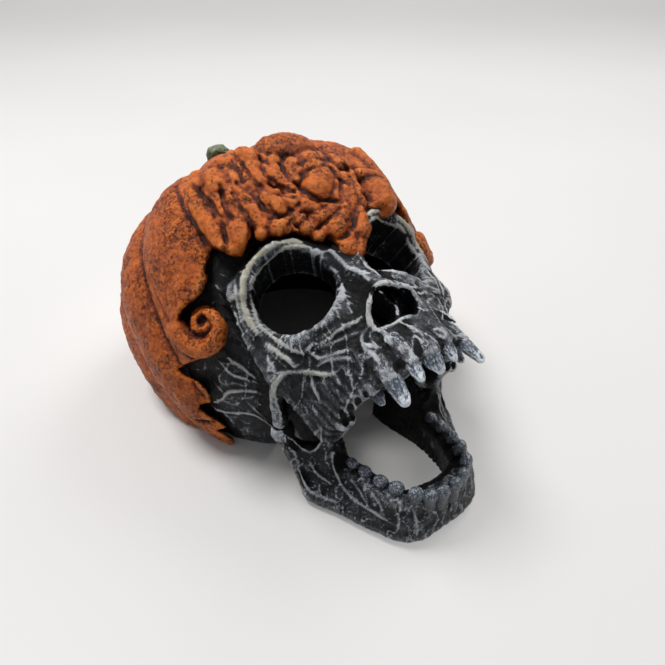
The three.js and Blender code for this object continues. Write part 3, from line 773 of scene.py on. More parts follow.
def sculpt_skin():
    clay, bare = Clay(SKIN_LOW, SKIN_HIGH), Clay(SKIN_LOW, SKIN_HIGH)
    x, y, z = clay.everywhere()
    bare.values = form(x, y, z, 0, PUMPKIN["under"])
    field = Stencil(LUMP_FIELD, np.full(3, -EDGE_BEYOND), np.full(3, EDGE_BEYOND)).distance(x, y, z)
    front = np.clip(-(y + FIELD_START) / FIELD_START, 0, 1)
    clay.values = bare.values + ribbing(x, y, z) - FIELD_RISE * np.clip(-field / FIELD_FADE, 0, 1) * front
    lumps = [rounded(bare.cast(pixels, radius * LUMP_SINK_SHARE), radius * LUMP_SWELL)
             for radius, *pixels in LUMP_PIXELS]
    for lump in lumps:
        clay.join(lump, LUMP_BLEND)
    for lump in filler_lumps(clay, bare):
        clay.join(lump, LUMP_BLEND)
    for radius, *pixels in GROOVE_PIXELS:
        clay.carve(bare.limb(pixels, radius, GROOVE_SINK), GROOVE_BLEND)
    creases = [clay.limb(closely(pixels, CREASE_STEP), radius, CREASE_SINK, 1)
               for radius, *pixels in CREASE_PIXELS]
    for crease in creases:
        clay.carve(crease, CREASE_BLEND)
    for lump in lumps:
        if isinstance(lump, Limb) and lump.points[0][0] < -MIRRORED_FROM:
            clay.join(lump.mirrored(), SHARP)
    clay.values = smooth_max(clay.values, -form(x, y, z, SKIN, SKULL_UNDER), 1.0)
    for stencil in window_stencils():
        clay.carve(stencil, EDGE_BLEND)
    clay.join_both(Ball(bare.cast([CURL_MIDDLE], CURL_BED_SINK)[0], CURL_BED_RADIUS), CURL_BED_BLEND)
    clay.carve_both(bare.limb(CURL_HOLE_PIXELS, CURL_HOLE_RADIUS, CURL_HOLE_SINK))
    clay.carve_both(bare.limb(CURL_GROOVE_PIXELS, CURL_GROOVE_RADIUS, GROOVE_SINK))
    clay.join_both(bare.limb(CURL_PIXELS, CURL_RADII, CURL_SINK), SHARP)
    clay.join_both(bare.limb(CURL_FOLD_PIXELS, CURL_FOLD_RADIUS, CURL_FOLD_SINK), SHARP)
    clay.values = np.maximum(clay.values, -floor_height(x, y, z))
    return clay


# The skull: its shell under the skin, the face, and the strands raised on them

SKULL_LOW, SKULL_HIGH = (-68, -102, -108), (68, 34, 0)
SHELL_SIDE = [
    (84, 6), (59.5, 8.8), (40.3, 21.9), (20.1, 36.8), (-29.8, 40.3), (-29.8, 83.1), (-6.1, 76.1),
    (32.4, 77), (61.3, 64.8), (84, 52.5),
]
SHELL_BROW = [(99.8, 7.9), (54.3, 7.9), (54.3, 33.3), (99.8, 33.3)]
SHELL_SIDE_START, SHELL_SIDE_END = 36, 120

ORBIT = (0.557, 0.787, 0.425)
ORBIT_RADIUS = 16.2
ORBIT_WALL = 4.2
ORBIT_DEPTH = 15
ORBIT_LIP = 0.5
ORBIT_BORE = 40
ORBIT_SPLAY = math.radians(18)

# The face's bars and walls, with their radii in millimetres or as shares of the cheeks' half width
BROW = [(0.94, 0.725, 0.3), (0.52, 0.83, 0.25), (0, 0.82, 0.36)]
BROW_SHARE = 0.14
TEMPLE = [(0.95, 0.69, 0.3), (1, 0.67, 0.43), (0.99, 0.65, 0.56), (0.97, 0.66, 0.64)]
TEMPLE_SHARES = (0.09, 0.1, 0.1, 0.11)
LID = [(0.92, 0.68, 0.59), (0.74, 0.75, 0.6), (0.5, 0.82, 0.6), (0.3, 0.87, 0.63)]
LID_SHARES = (0.11, 0.11, 0.11, 0.1)
BRIDGE = [(0, 0.8, 0.34), (0, 0.86, 0.48), (0, 0.965, 0.6)]
BRIDGE_SHARES = (0.15, 0.14, 0.06)
NOSE_RIM = [
    (0, 0.99, 0.61), (0.17, 0.975, 0.64), (0.24, 0.94, 0.7), (0.19, 0.92, 0.755), (0, 0.945, 0.735),
]
NOSE_RIM_SHARE = 0.045
NOSE_HOLE = (0.125, 0.9, 0.685)
NOSE_HOLE_RADII = (4.4, 11, 6.4)
NOSE_SIDE = (0.3, 0.85, 0.6)
NOSE_SIDE_SHARES = (0.21, 0.17, 0.27)
NOSE_SWELL = (0, 0.87, 0.685)
NOSE_SWELL_RADII = (13.0, 8.5, 12.5)
UNDER_EYE = [
    (0.97, 0.66, 0.63), (0.78, 0.72, 0.64), (0.5, 0.81, 0.67), (0.27, 0.89, 0.69), (0, 0.91, 0.75),
]
GUM = [(0.7, 0.46, 0.885), (0.6, 0.7, 0.87), (0.42, 0.87, 0.86), (0.21, 0.945, 0.855), (0, 0.955, 0.855)]
GUM_WALL_RADIUS = 4.4
ROOF = (0, 0.7, 0.8)
ROOF_SHARES = (0.5, 0.45, 0.2)
CAVITY = (0, 0.54, 0.64)
CAVITY_SHARES = (0.52, 0.75, 0.38)
PALATE = (0, 0.66, 0.96)
PALATE_SHARES = (0.43, 0.52, 0.19)
DEEP_WALL = [(0.82, 0.6, 0.6), (0.66, 0.48, 0.72), (0.6, 0.43, 0.88)]
DEEP_WALL_SHARE = 0.12
ARCH = [(0.98, 0.64, 0.655), (1.01, 0.5, 0.7), (0.99, 0.39, 0.76)]
ARCH_RADII = (3.2, 2.6, 3.2)
THROAT_TOP = [(0.66, 0.67, 0.66), (0.74, 0.48, 0.62), (0.8, 0.3, 0.6)]
THROAT_FOOT = [(0.56, 0.6, 0.92), (0.64, 0.41, 0.92), (0.72, 0.2, 0.84)]
THROAT_RADIUS, THROAT_STRIPS = 2.0, 24

# Each upper tooth's root and tip on the face, and its radius
UPPER_TEETH = {
    "upper_molar_right": [(-0.47, 0.83, 0.86), (-0.44, 0.83, 0.95), 2.6],
    "upper_canine_right": [(-0.39, 0.945, 0.86), (-0.4, 0.945, 1.005), 3.2],
    "upper_incisor_right": [(-0.205, 0.975, 0.86), (-0.205, 0.98, 0.965), 2.6],
    "upper_incisor_middle": [(0, 0.98, 0.86), (0, 0.965, 0.965), 3.7],
    "upper_incisor_left": [(0.195, 0.97, 0.86), (0.19, 0.97, 0.955), 2.6],
    "upper_canine_left": [(0.37, 0.94, 0.87), (0.44, 0.95, 1.0), 2.9],
    "upper_molar_left": [(0.47, 0.83, 0.86), (0.46, 0.83, 0.95), 2.6],
}
# The swelling of the gum over a tooth's root: how far it reaches behind the root and towards the tip
ROOT_BACK_SHARE, ROOT_FRONT_SHARE = 0.5, 0.3
ROOT_BACK = np.array([0, 1.5, 0])
ROOT_SHARES = np.array([0.6, 0.9, 1.0])

# Strands as a radius, a share of cream in their paint, and the pixels they run through
EYE_STRANDS = [
    (1.5, 1.0, (302, 242), (289, 241), (275, 244), (264, 251), (255, 258), (248, 269), (244, 280),
     (243, 293), (244, 305), (248, 318), (256, 330)),
    (1.3, 0.4, (256, 330), (265, 341), (275, 350), (287, 359), (296, 366)),
    (0.8, 0.9, (306, 246), (290, 247), (278, 251), (266, 262), (258, 271), (252, 280), (250, 289)),
    (0.7, 0.5, (250, 296), (251, 301), (255, 315), (259, 326), (270, 335), (282, 344), (295, 351),
     (303, 354)),
    (0.7, 0.3, (303, 354), (310, 347), (320, 339), (333, 330), (342, 324)),
    (0.8, 0.4, (316, 352), (320, 345), (333, 336), (344, 328), (356, 322), (365, 314)),
    (0.8, 0.1, (324, 247), (333, 253), (341, 261), (348, 268), (358, 271), (369, 280)),
    (0.7, 0.0, (332, 268), (337, 273), (342, 282), (343, 292), (343, 299)),
    (0.7, 0.2, (249, 326), (262, 342), (274, 355), (286, 367)),
    (0.6, 0.2, (268, 349), (269, 361), (274, 368)), (0.6, 0.3, (277, 352), (291, 361), (302, 367)),
    (0.7, 0.4, (239, 268), (236, 287), (239, 308), (245, 325), (254, 338)),
]
TEMPLE_STRANDS = [
    (1.1, 1.0, (207, 281), (216, 286), (224, 292), (234, 298)),
    (0.8, 0.3, (218, 254), (228, 258), (236, 264), (242, 272)),
    (0.8, 0.2, (210, 308), (213, 304), (221, 303), (229, 306), (235, 312), (238, 319)),
    (0.7, 0.1, (224, 317), (232, 317), (238, 323), (243, 331)),
    (0.8, 0.1, (228, 337), (237, 338), (243, 342), (248, 350)),
    (0.9, 0.2, (218, 351), (225, 352), (230, 358), (239, 364), (248, 371), (256, 378)),
    (0.7, 0.1, (220, 362), (225, 367), (230, 373), (239, 377), (247, 379)),
    (0.6, 0.0, (224, 363), (233, 363), (241, 367), (249, 373)),
    (0.8, 0.2, (213, 382), (218, 387), (225, 394)),
    (1.0, 0.3, (213, 402), (222, 398), (226, 394), (233, 391), (244, 390), (256, 391), (264, 393),
     (272, 396)),
    (0.6, 0.1, (239, 398), (248, 397), (257, 395)),
    (0.8, 0.1, (209, 404), (224, 411), (246, 413), (262, 418), (275, 427)),
    (0.7, 0.1, (247, 400), (259, 412), (271, 421), (277, 425)),
    (0.8, 0.2, (224, 425), (243, 424), (262, 426), (275, 431)),
    (0.7, 0.1, (228, 431), (250, 433), (271, 434)), (0.7, 0.2, (271, 396), (280, 409), (281, 418)),
    (0.6, 0.1, (281, 393), (289, 405), (291, 414)),
]
CHEEK_STRANDS = [
    (1.0, 0.6, (273, 396), (274, 386), (280, 377), (287, 372), (298, 371), (310, 372), (321, 374),
     (334, 374)),
    (0.8, 0.3, (311, 376), (314, 386), (318, 395), (321, 403)),
    (0.6, 0.1, (321, 375), (325, 383), (330, 391)), (0.6, 0.1, (338, 390), (343, 402)),
    (0.8, 0.2, (313, 353), (319, 358), (330, 356), (342, 352), (352, 349)),
    (0.7, 0.2, (316, 349), (328, 345), (340, 340), (352, 335), (363, 332)),
    (0.8, 0.2, (317, 366), (324, 362), (336, 359), (348, 358), (353, 362)),
    (0.7, 0.2, (310, 371), (318, 372), (327, 373), (335, 374)),
    (0.7, 0.0, (363, 346), (373, 354), (378, 360)), (0.6, 0.0, (346, 366), (352, 378), (353, 390)),
    (0.6, 0.0, (331, 362), (336, 374), (340, 384)), (0.5, 0.0, (352, 349), (360, 361), (364, 374)),
    (0.5, 0.0, (360, 341), (370, 346), (381, 348)),
]
NOSE_STRANDS = [
    (1.1, 0.3, (396, 286), (387, 283), (378, 285), (372, 292), (369, 302), (368, 312), (370, 322),
     (375, 330)),
    (0.6, 0.1, (387, 283), (394, 285), (402, 292), (408, 299), (414, 306), (414, 313), (407, 317),
     (401, 319), (396, 323), (389, 326), (382, 329), (375, 330)),
    (0.7, 0.1, (375, 330), (384, 335), (392, 345)), (0.7, 0.1, (370, 326), (362, 338), (366, 351)),
    (0.6, 0.0, (399, 321), (412, 328), (422, 335)),
]
FAR_STRANDS = [
    (1.0, 0.3, (420, 254), (422, 261), (428, 269), (432, 275), (428, 281), (420, 284), (407, 288)),
    (0.8, 0.1, (406, 288), (416, 288), (427, 287), (437, 291), (439, 294)),
    (0.7, 0.1, (407, 294), (415, 292), (427, 292), (438, 293)), (0.6, 0.0, (420, 300), (430, 297)),
]
STRAND_SINK_SHARE = 0.1
STRAND_BREAK = 14
STRAND_BLEND = 0.9
STRAND_TIP_SHARE = 0.6
STRAND_STEPS = 4

MOLAR_PIXELS = [(341, 424), (349, 418), (357, 412), (366, 406), (373, 400)]
MOLAR_RADII = (2.8, 2.8, 3.8)
MOLAR_SINK = 0.8
MOLAR_GAP_PIXELS = [
    ((342, 412), (346, 424)), ((350, 406), (354, 418)), ((358, 400), (362, 412)), ((366, 394), (370, 406)),
]
MOLAR_GAP_RADIUS, MOLAR_GAP_SINK, MOLAR_GAP_STEP, MOLAR_GAP_BLEND = 0.9, 0.3, 3, 0.7

NOSE_OUTLINE = [
    (379, 288), (374, 294), (371, 303), (371, 313), (373, 323), (378, 327), (384, 325), (391, 322),
    (396, 319), (400, 316), (407, 315), (412, 311), (411, 304), (406, 298), (399, 291), (391, 288),
    (384, 286),
]
NOSE_LOW, NOSE_HIGH = (-14, -100, -84), (14, -72, -52)
NOSE_BLEND = 1.2
NOSE_WALL_PIXELS = [(380, 289), (385, 299), (391, 309), (396, 319)]
NOSE_WALL_SINK = 2.0
NOSE_WALL_DEPTH = np.array([0, 9.0, 0])
NOSE_WALL_RADIUS, NOSE_WALL_STRIPS = 0.8, 16


def strand_limbs(clay, rows, to_local, mirror=True):
    """Each strand as a limb on the clay's surface, with the share of cream in its paint."""
    found = []
    for radius, cream, *pixels in rows:
        places = clay.cast(pixels, radius * STRAND_SINK_SHARE, to_local)
        run = places[:1]
        for place in places[1:]:
            if np.linalg.norm(place - run[-1]) < STRAND_BREAK:
                run.append(place)
        if len(run) < 2:
            continue
        taper = radius * np.where(np.arange(len(run)) % (len(run) - 1) == 0, STRAND_TIP_SHARE, 1.0)
        found.append((Limb(run, taper, STRAND_STEPS), cream))
        if mirror:
            found.append((Limb([MIRROR * place for place in run], taper, STRAND_STEPS), cream))
    return found


def skull_shell(x, y, z):
    outer = form(x, y, z, SKIN + SKULL_SUNK, SKULL_UNDER)
    inner = form(x, y, z, SKIN + SKULL_WALL, SKULL_UNDER)
    side, brow = -np.array(SHELL_SIDE), -np.array(SHELL_BROW)
    region = np.minimum.reduce([
        side_prism(side, (SHELL_SIDE_START, SHELL_SIDE_END), x, y, z),
        side_prism(side, (-SHELL_SIDE_END, -SHELL_SIDE_START), x, y, z),
        side_prism(brow, (-SHELL_SIDE_START - 1, SHELL_SIDE_START + 1), x, y, z),
    ])
    return smooth_max(smooth_max(outer, -inner, 1.0), region, FIRM)


def eye_pipe(side, inner, outer, span):
    return Pipe(face_row([ORBIT], side)[0], eye_axis(side), inner, outer, span)


def face_bar(path, shares, side=1):
    return Limb(face_row(path, side), np.array(shares) * CHEEK)


def face_ball(place, shares, side=1):
    return Ball(face_row([place], side)[0], np.array(shares) * CHEEK)


def join_face(clay):
    for side in (1, -1):
        eye = eye_pipe(side, ORBIT_RADIUS - 1, ORBIT_RADIUS + ORBIT_WALL, (-ORBIT_DEPTH, ORBIT_LIP))
        top, foot = face_row(THROAT_TOP, side), face_row(THROAT_FOOT, side)
        clay.join(eye, LOOSE)
        clay.join(face_bar(TEMPLE, TEMPLE_SHARES, side), LOOSE)
        clay.join(face_bar(LID, LID_SHARES, side), LOOSE)
        clay.join(face_bar(DEEP_WALL, DEEP_WALL_SHARE, side), SOFT)
        clay.join(Sheet(top, foot, THROAT_RADIUS, THROAT_STRIPS), SOFT)
        clay.join(face_ball(NOSE_SIDE, NOSE_SIDE_SHARES, side), LOOSE)
        clay.join(face_bar(NOSE_RIM, NOSE_RIM_SHARE, side), FIRM)
        clay.join(Limb(face_row(ARCH, side), ARCH_RADII), SOFT)
    top, foot = face_row(both_sides(UNDER_EYE)), face_row(both_sides(GUM))
    clay.join(face_bar(both_sides(BROW), BROW_SHARE), LOOSE)
    clay.join(face_bar(BRIDGE, BRIDGE_SHARES), LOOSE)
    clay.join(Ball(face_at(*NOSE_SWELL), NOSE_SWELL_RADII), SOFT)
    clay.join(Sheet(top, foot, GUM_WALL_RADIUS), SOFT)
    clay.join(face_ball(ROOF, ROOF_SHARES), FIRM)
    for root, tip, radius in UPPER_TEETH.values():
        root, tip = face_at(*root), face_at(*tip)
        back = root + (root - tip) * ROOT_BACK_SHARE + ROOT_BACK
        clay.join(Limb([back, root, root + (tip - root) * ROOT_FRONT_SHARE], ROOT_SHARES * radius), SOFT)


def sculpt_skull():
    clay = Clay(SKULL_LOW, SKULL_HIGH)
    x, y, z = clay.everywhere()
    clay.values = skull_shell(x, y, z)
    join_face(clay)
    for side in (1, -1):
        clay.carve(eye_pipe(side, -1, ORBIT_RADIUS, (-ORBIT_BORE, ORBIT_BORE)), FIRM)
        clay.carve(Ball(face_row([NOSE_HOLE], side)[0], NOSE_HOLE_RADII), SHARP)
    clay.carve(face_ball(CAVITY, CAVITY_SHARES))
    clay.carve(face_ball(PALATE, PALATE_SHARES))
    for place in clay.cast(MOLAR_PIXELS, MOLAR_SINK):
        clay.join_both(Ball(place, MOLAR_RADII))
    for pixels in MOLAR_GAP_PIXELS:
        gap = clay.limb(closely(pixels, MOLAR_GAP_STEP), MOLAR_GAP_RADIUS, MOLAR_GAP_SINK, 1)
        clay.carve_both(gap, MOLAR_GAP_BLEND)
    wall = clay.cast(NOSE_WALL_PIXELS, NOSE_WALL_SINK)
    clay.carve(Stencil(NOSE_OUTLINE, NOSE_LOW, NOSE_HIGH), NOSE_BLEND)
    deep = [place + NOSE_WALL_DEPTH for place in wall]
    clay.join(Sheet(wall, deep, NOSE_WALL_RADIUS, NOSE_WALL_STRIPS), SHARP)
    strands = strand_limbs(clay, EYE_STRANDS + TEMPLE_STRANDS + CHEEK_STRANDS, world_to_head)
    strands += strand_limbs(clay, NOSE_STRANDS + FAR_STRANDS, world_to_head, mirror=False)
    for limb, _ in strands:
        clay.join(limb, STRAND_BLEND)
    clay.values = np.maximum(clay.values, -floor_height(x, y, z))
    return clay, strands


# The lower jaw, in the scene's frame. Its places are shares of the cheeks' half width, of the jaw's
# length from the hinge and of the hinge's height

JAW_LOW, JAW_HIGH = (-50, -106, -3), (50, -26, 42)
JAW_LENGTH = 58.5
JAW_MIDDLE = np.array([0, -66.0, 0])
HINGE = head_to_world(face_at(0, 0.35, 0.788))[0]
JAW_BASE = [
    (0.88, 0.26, 0.13), (0.73, 0.45, 0.14), (0.56, 0.69, 0.15), (0.36, 0.895, 0.15), (0, 0.925, 0.15),
]
JAW_RIDGE = [
    (0.66, 0.26, 0.42), (0.54, 0.41, 0.48), (0.47, 0.64, 0.54), (0.34, 0.83, 0.59), (0, 0.885, 0.6),
]
JAW_WALL_RADIUS, JAW_WALL_STRIPS = 4.9, 60
RAMUS_REAR = [(0.885, 0.17, 0.12), (0.92, 0.11, 0.45), (0.95, 0.06, 0.74)]
RAMUS_FRONT = [(0.74, 0.33, 0.2), (0.7, 0.27, 0.5), (0.68, 0.235, 0.74)]
RAMUS_RADIUS, RAMUS_STRIPS = 3.3, 16
CORONOID = [(0.7, 0.25, 0.6), (0.66, 0.22, 1.08)]
CORONOID_RADII = (3.6, 3.4)
NECK = [(0.93, 0.08, 0.6), (0.99, 0, 0.96)]
NECK_RADII = (3.4, 3.0)
KNOB = (0.99, 0, 1)
KNOB_RADII = (5.2, 4.6, 4.6)
LOWER_TIPS = [
    (0.075, 0.952, 0.822), (0.203, 0.928, 0.828), (0.318, 0.875, 0.883), (0.41, 0.761, 0.846),
    (0.462, 0.644, 0.773), (0.5, 0.504, 0.706), (0.528, 0.381, 0.639),
]
SOCKET_SHARE = 0.5
SOCKET_RADII = (2.9, 2.9, 5.0)
SOCKET_BLEND = 1.5
INNER_TOP = [
    (0.36, -0.12, 1.15), (0.44, 0.04, 1.1), (0.53, 0.2, 0.92), (0.54, 0.38, 0.44), (0.48, 0.6, 0.5),
    (0.4, 0.76, 0.5),
]
INNER_FOOT = [
    (0.33, -0.12, -0.05), (0.35, 0.04, -0.05), (0.41, 0.2, -0.05), (0.45, 0.38, -0.05), (0.46, 0.6, -0.05),
    (0.4, 0.76, -0.05),
]
INNER_RADIUS, INNER_STRIPS = 1.6, 24
JAW_STRANDS = [
    (0.8, 0.1, (337, 440), (333, 452), (334, 466), (341, 483), (354, 498), (376, 513), (398, 526)),
    (0.9, 0.2, (327, 430), (336, 442), (341, 456), (348, 470)),
    (0.8, 0.1, (289, 436), (303, 448), (314, 450), (322, 440)),
    (0.9, 0.1, (298, 468), (310, 490), (337, 502), (367, 523), (393, 534), (422, 541), (441, 536)),
    (0.6, 0.0, (290, 445), (296, 456), (300, 470)), (0.6, 0.0, (310, 462), (318, 474), (331, 484)),
    (0.6, 0.0, (352, 480), (362, 494), (370, 507)), (0.5, 0.0, (372, 492), (380, 504), (384, 516)),
    (0.5, 0.0, (392, 500), (398, 514), (400, 526)), (0.5, 0.0, (412, 506), (416, 520), (417, 532)),
    (0.5, 0.0, (434, 508), (436, 520), (432, 532)), (0.6, 0.0, (452, 500), (455, 512), (450, 524)),
]


def jaw_at(across, forward, up):
    return np.array([across * CHEEK, HINGE[1] - forward * JAW_LENGTH, up * HINGE[2]])


def jaw_row(shares, side=1):
    return [jaw_at(side * across, forward, up) for across, forward, up in shares]


def sculpt_jaw():
    clay = Clay(JAW_LOW, JAW_HIGH)
    base, ridge = jaw_row(both_sides(JAW_BASE)), jaw_row(both_sides(JAW_RIDGE))
    clay.join(Sheet(base, ridge, JAW_WALL_RADIUS, JAW_WALL_STRIPS), FIRM)
    for side in (1, -1):
        rear, front = jaw_row(RAMUS_REAR, side), jaw_row(RAMUS_FRONT, side)
        top, foot = jaw_row(INNER_TOP, side), jaw_row(INNER_FOOT, side)
        clay.join(Sheet(rear, front, RAMUS_RADIUS, RAMUS_STRIPS), SOFT)
        clay.join(Sheet(top, foot, INNER_RADIUS, INNER_STRIPS), SOFT)
        clay.join(Limb(jaw_row(CORONOID, side), CORONOID_RADII), SOFT)
        clay.join(Limb(jaw_row(NECK, side), NECK_RADII), SOFT)
        clay.join(Ball(jaw_row([KNOB], side)[0], KNOB_RADII), FIRM)
        for across, forward, up in LOWER_TIPS:
            socket = jaw_at(side * across, forward, up * SOCKET_SHARE)
            clay.join(Ball(socket, SOCKET_RADII), SOCKET_BLEND)
    strands = strand_limbs(clay, JAW_STRANDS, stay)
    for limb, _ in strands:
        clay.join(limb, STRAND_BLEND)
    clay.values = np.maximum(clay.values, -clay.everywhere()[2])
    return clay, strands


# Teeth: each a flattened peg with grooves down its sides, and a chipped tip unless it is blunt

TOOTH_STEP = 0.3
TOOTH_ROOM, TOOTH_BOTTOM = 2, -2.5
TOOTH_FLAT = 0.78
TOOTH_WEAR = (0.08, 1.5)
TOOTH_SWELL = [(0.0, 0.92), (0.3, 1.06), (0.65, 0.9)]
TOOTH_BLEND = 0.5
TIP_SHARE = 0.4
POINTED, BLUNT = 0.74, 0.92
TOOTH_GROOVES = 3
TOOTH_GROOVE_RADII = (0.28, 0.2)
TOOTH_GROOVE_BLEND = 0.6
GROOVE_FOOT_SHARE, GROOVE_TOP_SHARE, GROOVE_HEIGHT_SHARE = 1.05, 0.95, 0.8
GROOVE_TURN = 0.5
CHIP_SHARE, CHIP_LIFT_SHARE = 0.7, 0.2
TOOTH_FLOW_SIZES = np.array([1.3, 1.3, 6.0])
UPPER_ROOT_SHARE = 0.2
UPPER_TOOTH_FAN = 40
LOWER_TOOTH_RADIUS = 3.5
LOWER_ROOT_SHARES = (0.97, 0.985, 0.45)
LOWER_TOOTH_CENTRE, LOWER_TOOTH_RISE = 0.35, 0.2
LOWER_SEED = 20


def sculpt_tooth(length, radius, seed, blunt):
    """A tooth in its own frame: along Z, with its width and its thickness across."""
    side = radius + TOOTH_ROOM
    clay = Clay((-side, -side, TOOTH_BOTTOM), (side, side, length + radius + 1), TOOTH_STEP)
    heights = [length * share for share, _ in TOOTH_SWELL] + [length - radius * blunt * TIP_SHARE]
    widths = [radius * share for _, share in TOOTH_SWELL] + [radius * blunt]
    clay.join(Limb([UP * height for height in heights], widths), TOOTH_BLEND)
    draw = np.random.default_rng(seed)
    for turn in draw.uniform(0, 2 * math.pi, TOOTH_GROOVES):
        foot = heading(turn) * radius * GROOVE_FOOT_SHARE
        top = heading(turn + GROOVE_TURN) * radius * GROOVE_TOP_SHARE
        top = top + UP * (length * GROOVE_HEIGHT_SHARE)
        clay.carve(Limb([foot, top], TOOTH_GROOVE_RADII, 1), TOOTH_GROOVE_BLEND)
    chip = heading(draw.uniform(0, 2 * math.pi)) * radius + UP * (length + radius * CHIP_LIFT_SHARE)
    if blunt == POINTED:
        clay.carve(Ball(chip, radius * CHIP_SHARE), SHARP)
    return clay


def add_tooth(name, root, tip, radius, outward, seed, to_world, material, blunt=POINTED):
    way = tip - root
    length = np.linalg.norm(way)
    way = way / length
    outward = np.array(outward, float)
    thick = outward - (outward @ way) * way
    thick = thick / np.linalg.norm(thick)
    own, quads = mesh_from(sculpt_tooth(length, radius, seed, blunt), stay)
    wide = np.cross(thick, way)
    placed = root + own[:, :1] * wide + own[:, 1:2] * TOOTH_FLAT * thick + own[:, 2:] * way
    points = weathered(to_world(placed), quads, *TOOTH_WEAR, seed)
    marks = surface_marks(points, quads)
    marks["along"] = np.clip(own[:, 2] / own[:, 2].max(), 0, 1)
    build(name, points, quads, material, [name], marks, own / TOOTH_FLOW_SIZES + seed)


def add_teeth(bright, shaded_paint):
    for seed, (name, (root, tip, radius)) in enumerate(UPPER_TEETH.items()):
        root, tip = face_at(*root), face_at(*tip)
        start = root + (tip - root) * UPPER_ROOT_SHARE
        out = (root[0] / UPPER_TOOTH_FAN, -1, 0)
        # The molars and the lower teeth get the darker copy, painted shade inside the mouth
        material = shaded_paint if "molar" in name else bright
        add_tooth(name, start, tip, radius, out, seed, head_to_world, material)
    for side, word in ((-1, "right"), (1, "left")):
        for index, tip in enumerate(LOWER_TIPS):
            base = [share * part for share, part in zip(tip, LOWER_ROOT_SHARES)]
            root, end = jaw_row([base, tip], side)
            out = (side * tip[0], -(tip[1] - LOWER_TOOTH_CENTRE), LOWER_TOOTH_RISE)
            name, seed = f"lower_tooth_{word}_{index + 1}", LOWER_SEED + index + side
            add_tooth(name, root, end, LOWER_TOOTH_RADIUS, out, seed, stay, shaded_paint, BLUNT)


# Stem: a bent stub with flutes that wind round it and a cup in its cut end

STEM_LENGTH = 30
STEM_ROOT = 4
STEM_FOOT = 5
STEM_ROOM = 16
STEM_STEP = 0.5
STEM_RADII = [8.6, 7.0, 6.4, 6.2, 5.8]
STEM_FLUTES = 6
FLUTE_REACHES = [6.8, 5.0, 4.0, 3.8, 4.2]
FLUTE_RADII = [2.6, 2.2, 1.9, 1.9, 2.1]
FLUTE_TWIST = 0.22
FLUTE_BLEND = 1.2
STEM_CUP_REACH, STEM_CUP_RADIUS = 10.5, 6.5


def sculpt_stem():
    up = np.array([0, -math.sin(STEM_LEAN), math.cos(STEM_LEAN)])
    inside = up * STEM_LENGTH
    start = inside - up * (form(*inside, 0, PUMPKIN["under"]) + DIMPLE_DEPTH + STEM_ROOT)
    middle = start + up * STEM_LENGTH / 2
    upright = world_to_head(UP, directions=True)[0]
    lean = (upright + up) / np.linalg.norm(upright + up)
    tip = middle + lean * STEM_LENGTH / 2
    ends = [start, middle, tip]
    clay = Clay(np.min(ends, 0) - STEM_ROOM, np.max(ends, 0) + STEM_ROOM, STEM_STEP)
    path = [start, start + up * STEM_FOOT, middle, (middle + tip) / 2, tip]
    clay.join(Limb(path, STEM_RADII))
    across = np.array([1.0, 0, 0])
    for flute in range(STEM_FLUTES):
        places = []
        for step, (place, reach) in enumerate(zip(path, FLUTE_REACHES)):
            turn = 2 * math.pi * flute / STEM_FLUTES + FLUTE_TWIST * step
            side = across * math.cos(turn) + np.cross(up, across) * math.sin(turn)
            places.append(place + side * reach)
        clay.join(Limb(places, FLUTE_RADII), FLUTE_BLEND)
    clay.carve(Ball(tip + lean * STEM_CUP_REACH, STEM_CUP_RADIUS), FLUTE_BLEND)
    return clay


# Materials

class Value:
    """A value in a material's nodes, added and multiplied as a number is."""

    def __init__(self, paint, socket):
        self.paint, self.socket = paint, socket

    def __add__(self, other):
        return self.paint.math("ADD", self, other)

    def __sub__(self, other):
        return self.paint.math("SUBTRACT", self, other)

    def __rsub__(self, other):
        return self.paint.math("SUBTRACT", other, self)

    def __mul__(self, other):
        return self.paint.math("MULTIPLY", self, other)

    def __truediv__(self, other):
        return self.paint.math("DIVIDE", self, other)

    def swing(self):
        """How far noise is from its middle."""
        return self - 0.5

    def at_least(self, other):
        return self.paint.math("MAXIMUM", self, other)

    def spread(self, low, high, to_low=0.0, to_high=1.0):
        """From one level to another, with a smooth step between two values."""
        made = self.paint.node("ShaderNodeMapRange", interpolation_type="SMOOTHSTEP")
        self.paint.link(self, made.inputs["Value"])
        names = ("From Min", "From Max", "To Min", "To Max")
        for name, number in zip(names, (low, high, to_low, to_high)):
            made.inputs[name].default_value = number
        return Value(self.paint, made.outputs["Result"])


